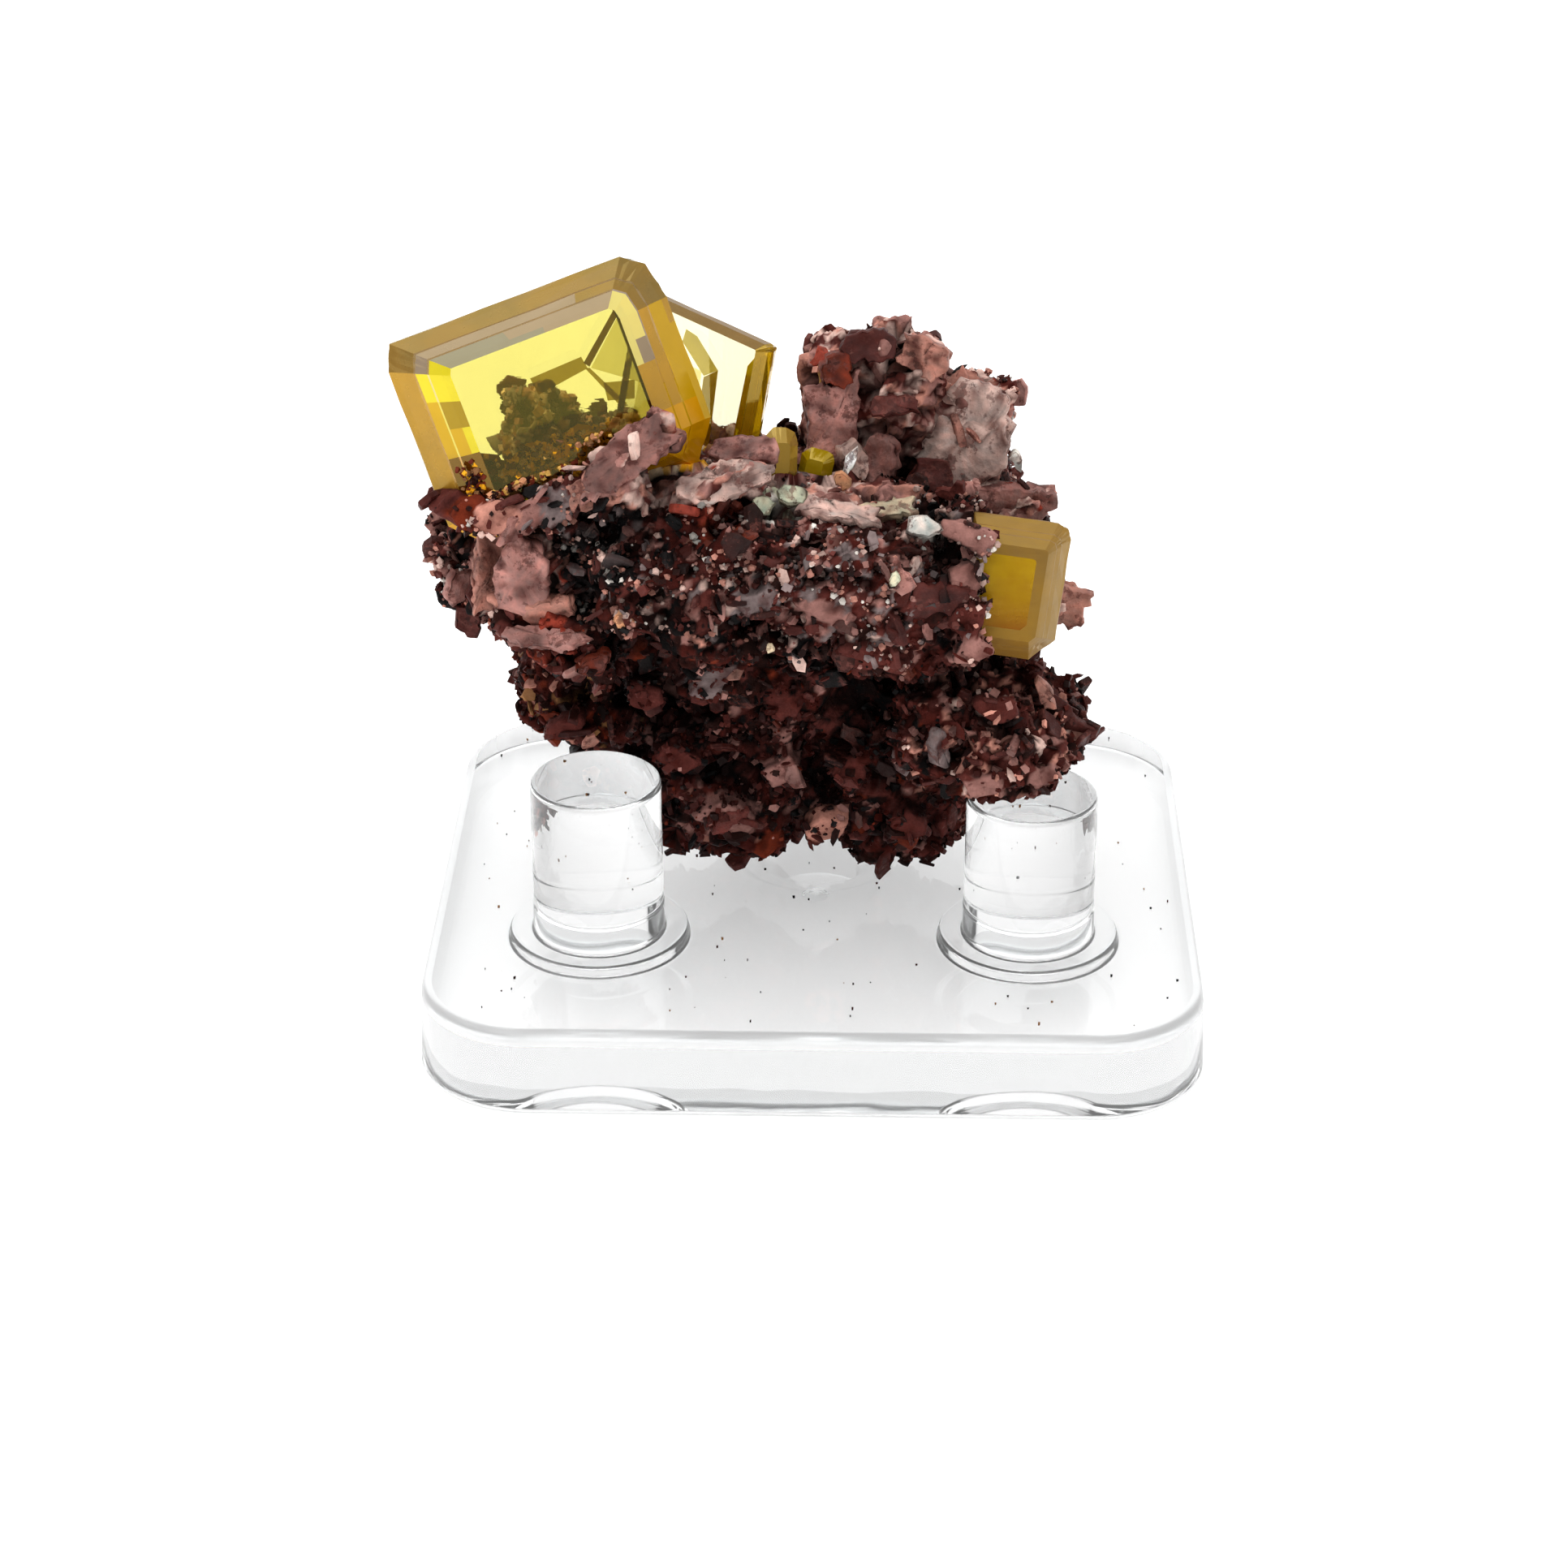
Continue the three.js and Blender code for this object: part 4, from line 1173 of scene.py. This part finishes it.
def rock():
    """The matrix fused with its plates and blades and broken up into lumps, grains and pits."""
    shells = grown_shells()
    source = np.concatenate(shells.points)
    tree = BVHTree.FromPolygons(source.tolist(), shells.faces)
    fused = modified(source, shells.faces, "REMESH", mode="VOXEL", voxel_size=VOXEL)
    points, normals, triangles = mesh_arrays(fused)
    owner = np.empty(len(points), int)
    lumps, chance, stain, pit, sink = np.empty((5, len(points)))
    for i, p in enumerate(points):
        p = Vector(p)
        sink[i] = sunken(p)
        owner[i] = shells.owner[tree.find_nearest(p)[2]]
        near = noise.voronoi(p * 0.8)[0]
        small, grain = noise.voronoi(p * 2.2)
        lumps[i] = 0.4 * (0.5 - near[0]) + 0.3 * (0.5 - small[0])
        stain[i] = noise.noise(p * 1.1 + Vector((5, 5, 5)))
        pit[i] = pits(p)
        chance[i] = 0.5 + 0.5 * noise.cell(grain[0] * 9.7)
    own = owner > 0
    push = np.where(own, 0.3 * lumps - 0.12 * pit, lumps - pit) - sink
    bed = crystal_distances(points) < BED_REACH
    push = np.where(bed & ~own, BED_PUSH + 0.15 * push, push)
    colours = tints(points, chance, bed & (points[:, 0] < GOLDEN_LIT_BED_LIMIT))
    grown = np.array(shells.colours)[owner]
    grown = grown + (STAIN - grown) * np.clip(1.6 * (stain - 0.12), 0, 0.7)[:, None]
    # Painted light and shade: the grown plates and lumps are painted lighter where the lumps rise and darker
    # where they sink.
    colours = np.where(own[:, None], grown * (1 + 0.5 * lumps)[:, None], colours)
    points = seated(points + normals * push[:, None])
    share = min(1.0, ROCK_TRIANGLES / len(triangles))
    final = modified(points, triangles.tolist(), "DECIMATE", ratio=share)
    before = places(points)
    points, normals, triangles = mesh_arrays(final)
    nearest = np.array([before.find(p)[1] for p in points])
    # Painted shade: the rock's colours are darkened where the rock itself hides the sky, in cavities,
    # crevices and under overhangs; the bed next to the crystals is left unshaded.
    sky = open_sky(points, normals, triangles.tolist())
    shade = np.where(bed[nearest], 1.0, CAVITY_LIGHT + SKY_LIGHT * sky**SKY_POWER)
    made = new_object("matrix_rock", points, triangles.tolist(), True, colours[nearest] * shade[:, None])
    piece(made, "matrix_rock", [ROCK], "matrix")
    return {"points": points, "triangles": triangles, "shade": shade, "place": places(points)}


# ---- flakes and grains on the rock


def surface_samples(points, triangles, count, rng):
    """Points spread over a surface, with the normals there."""
    triangles = points[triangles]
    cross = np.cross(triangles[:, 1] - triangles[:, 0], triangles[:, 2] - triangles[:, 0])
    area = np.linalg.norm(cross, axis=1)
    chosen = rng.choice(len(area), count, p=area / area.sum())
    u, v = rng.random((2, count, 1))
    fold = u + v > 1
    u, v = np.where(fold, 1 - u, u), np.where(fold, 1 - v, v)
    a, b, c = triangles[chosen, 0], triangles[chosen, 1], triangles[chosen, 2]
    return a + u * (b - a) + v * (c - a), cross[chosen] / area[chosen][:, None]


def outside(points, clear_of_pegs, clear_of_crystals):
    """Which points are clear of the pegs and of the wulfenite."""
    keep = np.ones(len(points), bool)
    for x, y, height in PEG_SPOTS:
        away = np.hypot(points[:, 0] - x, points[:, 1] - y)
        above = points[:, 2] > BASE["thickness"] + height + clear_of_pegs
        keep &= (away > PEG_RADIUS + clear_of_pegs) | above
    for name, spec in WULFENITE.items():
        local = moved(points, stood(name).inverted())
        reach = np.abs(local[:, [0, 2, 1]]) - np.array(spec["size"]) / 2
        keep &= (reach > clear_of_crystals).any(axis=1)
    return keep


def unit(vectors):
    return vectors / np.linalg.norm(vectors, axis=1)[:, None]


def stances(normals, lean, lying, rng):
    """Axes for each piece, as columns: length, thickness and height, standing or lying on the rock."""
    count = len(normals)
    up = unit(normals + lean * unit(rng.normal(size=(count, 3))))
    along = unit(np.cross(up, unit(rng.normal(size=(count, 3)))))
    across = np.cross(up, along)
    flat = rng.random(count) < lying
    thickness = np.where(flat[:, None], up, across)
    height = np.where(flat[:, None], across, up)
    return np.stack([along, thickness, height], axis=2)


# A thin six-sided plate with thinner edges, a blocky chip and a round grain with five sides, 1 mm long.
FLAKE = stacked(
    [(-0.5, 0.08), (-0.28, 0.5), (0.22, 0.46), (0.5, 0.02), (0.3, -0.5), (-0.24, -0.46)],
    [(0.72, -0.5), (1.0, 0.0), (0.72, 0.5)],
)
CHIP = stacked([(-0.5, -0.5), (0.5, -0.5), (0.5, 0.5), (-0.5, 0.5)], [(0.8, -0.5), (1.0, 0.5)])
BEAD = stacked([(x, y) for x, y, _ in circle(0.5, 0.0, 5)], [(0.5, -0.42), (1.0, 0.0), (0.5, 0.42)])


def heap(name, form, points, axes, sizes, colours, jitter, material, rng, clear_of_pegs=True):
    """Many copies of a form as one mesh, each with its own size, stance, shape and colour."""
    vertices, faces = form
    vertices = np.array(vertices)
    local = vertices[None] + rng.uniform(-jitter, jitter, (len(points), *vertices.shape))
    local = local * sizes[:, None, :]
    world = np.einsum("nij,nkj->nki", axes, local) + points[:, None, :]
    size = len(vertices)
    all_faces = [tuple(i + k * size for i in face) for k in range(len(points)) for face in faces]
    tint = np.repeat(colours, size, axis=0)
    world = world.reshape(-1, 3)
    made = new_object(name, seated(world) if clear_of_pegs else world, all_faces, False, tint)
    return piece(made, "matrix_rock", [material])


# Grounds with sugary barite beads, and the beads' colours.
BEADED_GROUNDS = ("dark", "rust", "shelf", "greyish", "spur", "mossy")
BEADS = ["white", "pale", "pale", "pink", "pink", "pink", "mauve", "mauve", "grey"]


def on_ground(points, grounds):
    """Which points lie in a zone of one of these grounds."""
    return np.isin(kinds_of_ground(points), [list(PALETTES).index(name) for name in grounds])


def scatter(
    name, ground, form, material, seed, count, length, ratios, lean, lying, lift, clump, bare,
    shade=(0.7, 1.25), names=None,
):
    """A form scattered over the rock, in clumps, clear of pegs and crystals, and thinner on bare ground.

    Length is in mm, ratios and lift are shares of it. Lying is the share that lies flat, clump the level
    of the noise over which it grows and bare the share left on bare ground.
    """
    rng = np.random.default_rng(seed)
    points, normals = surface_samples(ground["points"], ground["triangles"], count, rng)
    size = length[0] + (length[1] - length[0]) * rng.random(len(points)) ** 2.2
    keep = outside(points, 0.1 + 0.3 * size.max(), 0.1)
    dense = np.array([noise.noise(Vector(p) * 0.5 + Vector((seed, 0, 0))) for p in points])
    keep &= dense + 0.35 * rng.uniform(-1, 1, len(points)) > clump
    keep &= ~on_ground(points, BARE_GROUNDS) | (rng.random(len(points)) < bare)
    if names:
        keep &= on_ground(points, BEADED_GROUNDS)
    points, normals, size = points[keep], normals[keep], size[keep]
    ratio = rng.uniform(*np.array(ratios).T, (len(points), 2))
    sizes = np.stack([size, size * ratio[:, 0], size * ratio[:, 1]], axis=1)
    points = points + normals * (size * rng.uniform(*lift, len(points)))[:, None]
    axes = stances(normals, lean, lying, rng)
    if names:
        colours = colours_of(rng.choice(names, len(points)))
    else:
        colours = tints(points, rng.random(len(points)))
    # Painted shade: each piece takes a random tone and is darkened by the rock's painted cavity shade where
    # it lies.
    sky = ground["shade"][[ground["place"].find(p)[1] for p in points]]
    colours = colours * rng.uniform(*shade, (len(points), 1)) * sky[:, None]
    heap(name, form, points, axes, sizes, np.clip(colours, 0, 1), 0.12, material, rng)


# ---- putting it together

stand()
ground = rock()
plates(ground)
blades(ground)
crystal("wulfenite_main", GROWTH_STEPS, jitter=0.03, seed=3)
crystal("wulfenite_rear", THIN_STEPS, jitter=0.02, seed=4)
crystal("wulfenite_right", FRAMED_STEPS, jitter=0.03, seed=5)
crystal("wulfenite_small_left", PLAIN_STEPS, jitter=0.01, seed=6)
crystal("wulfenite_small_right", PLAIN_STEPS, jitter=0.01, seed=7)
veils("wulfenite_main")
veils("wulfenite_rear")
inclusions()
specks()
# Thickness and height of what is scattered, as shares of its length.
THIN = ((0.1, 0.22), (0.4, 0.8))
BLOCKY = ((0.4, 0.9), (0.5, 1.0))
ROUND = ((0.7, 1.0), (0.7, 1.0))
scatter(
    "barite_flakes", ground, FLAKE, FLAKES, 31, count=5000, length=(0.4, 1.3), ratios=THIN,
    lean=0.8, lying=0.4, lift=(-0.1, 0.22), clump=-0.05, bare=0.12,
)
scatter(
    "rock_chips", ground, CHIP, GRAINS, 32, count=14000, length=(0.16, 0.5), ratios=BLOCKY,
    lean=1.2, lying=0.3, lift=(0.0, 0.3), clump=0.0, bare=0.05,
)
scatter(
    "rock_grains", ground, CHIP, GRAINS, 33, count=16000, length=(0.1, 0.34), ratios=BLOCKY,
    lean=1.5, lying=0.3, lift=(0.0, 0.45), clump=0.0, bare=0.08, shade=(0.8, 1.4),
)
scatter(
    "barite_beads", ground, BEAD, GRAINS, 34, count=30000, length=(0.14, 0.46), ratios=ROUND,
    lean=1.5, lying=0.3, lift=(0.1, 0.5), clump=0.02, bare=0.05, shade=(0.6, 1.0), names=BEADS,
)


# ---- floor, light and camera

FLOOR_SIZE = 3.0  # in m
FLOOR_LEVEL = -0.05
FLOOR_GLOW = 0.35  # the floor is a light table
# How bright the studio is in front and behind, and how much brighter it grows upwards than backwards.
STUDIO_FRONT = 0.4
STUDIO_BACK = 1.05
STUDIO_RISE = 0.6
# The photo's camera, worked out from the stand, in m.
LENS = 86.18
CAMERA_AT = (0.00242777, -0.16627921, 0.09731524)
CAMERA_RIGHT = Vector((0.99971720, 0.02376448, -0.00087612))
CAMERA_UP = Vector((-0.01037928, 0.46918739, 0.88303763))
CAMERA_FORWARD = Vector((-0.02139599, 0.88277882, -0.46930136))
BOUNCES = 24


def floor():
    n = Nodes("pale_floor")
    shade = n.ranged(n.noise(30, 3), 0.3, 0.7, 0.0, 1.0)
    white = n.mix(shade, (0.93, 0.93, 0.93), (0.95, 0.95, 0.95))
    side = FLOOR_SIZE / 2 / MM
    corners = [(x * side, y * side, FLOOR_LEVEL) for x, y in ((-1, -1), (1, -1), (1, 1), (-1, 1))]
    made = new_object("floor", corners, [(0, 1, 2, 3)])
    glow = {"Emission_Color": white, "Emission_Strength": FLOOR_GLOW}
    made.data.materials.append(n.surface(Base_Color=white, Roughness=0.9, **glow))


def world():
    """A white studio, bright behind and overhead and darker on the side of the camera."""
    n = Nodes("studio", "World")
    toward = n.add("ShaderNodeSeparateXYZ", {0: n.coordinates["Generated"]}).outputs
    values = {0: toward["Z"], 1: STUDIO_RISE, 2: toward["Y"]}
    back = n.add("ShaderNodeMath", values, operation="MULTIPLY_ADD").outputs[0]
    glow = n.ranged(back, -0.75, 0.0, STUDIO_FRONT, STUDIO_BACK, "SMOOTHSTEP")
    background = n.add("ShaderNodeBackground", {"Color": (1, 1, 1, 1), "Strength": glow})
    n.tree.links.new(background.outputs["Background"], n.output.inputs["Surface"])
    bpy.context.scene.world = n.owner


def lamp(name, at, size, watts, target=(0, 0, 0.018)):
    """An area light at a point, in m, that faces the middle of the specimen."""
    light = bpy.data.lights.new(name, "AREA")
    light.shape = "RECTANGLE"
    light.size, light.size_y = size
    light.energy = watts
    made = bpy.data.objects.new(name, light)
    made.location = at
    made.rotation_euler = (Vector(target) - Vector(at)).to_track_quat("-Z", "Y").to_euler()
    bpy.context.scene.collection.objects.link(made)


def camera():
    made = bpy.data.objects.new("camera", bpy.data.cameras.new("camera"))
    made.data.lens = LENS
    made.data.sensor_width = 36.0
    made.data.clip_start = 0.01
    axes = Matrix((CAMERA_RIGHT, CAMERA_UP, -CAMERA_FORWARD)).transposed()
    made.matrix_world = Matrix.Translation(CAMERA_AT) @ axes.to_4x4()
    bpy.context.scene.collection.objects.link(made)
    bpy.context.scene.camera = made


floor()
world()
lamp("top softbox", at=(-0.12, -0.05, 0.6), size=(0.9, 0.7), watts=3.0)
camera()
bpy.context.scene.cycles.max_bounces = BOUNCES
bpy.context.scene.cycles.transmission_bounces = BOUNCES
bpy.context.scene.view_settings.view_transform = "Standard"
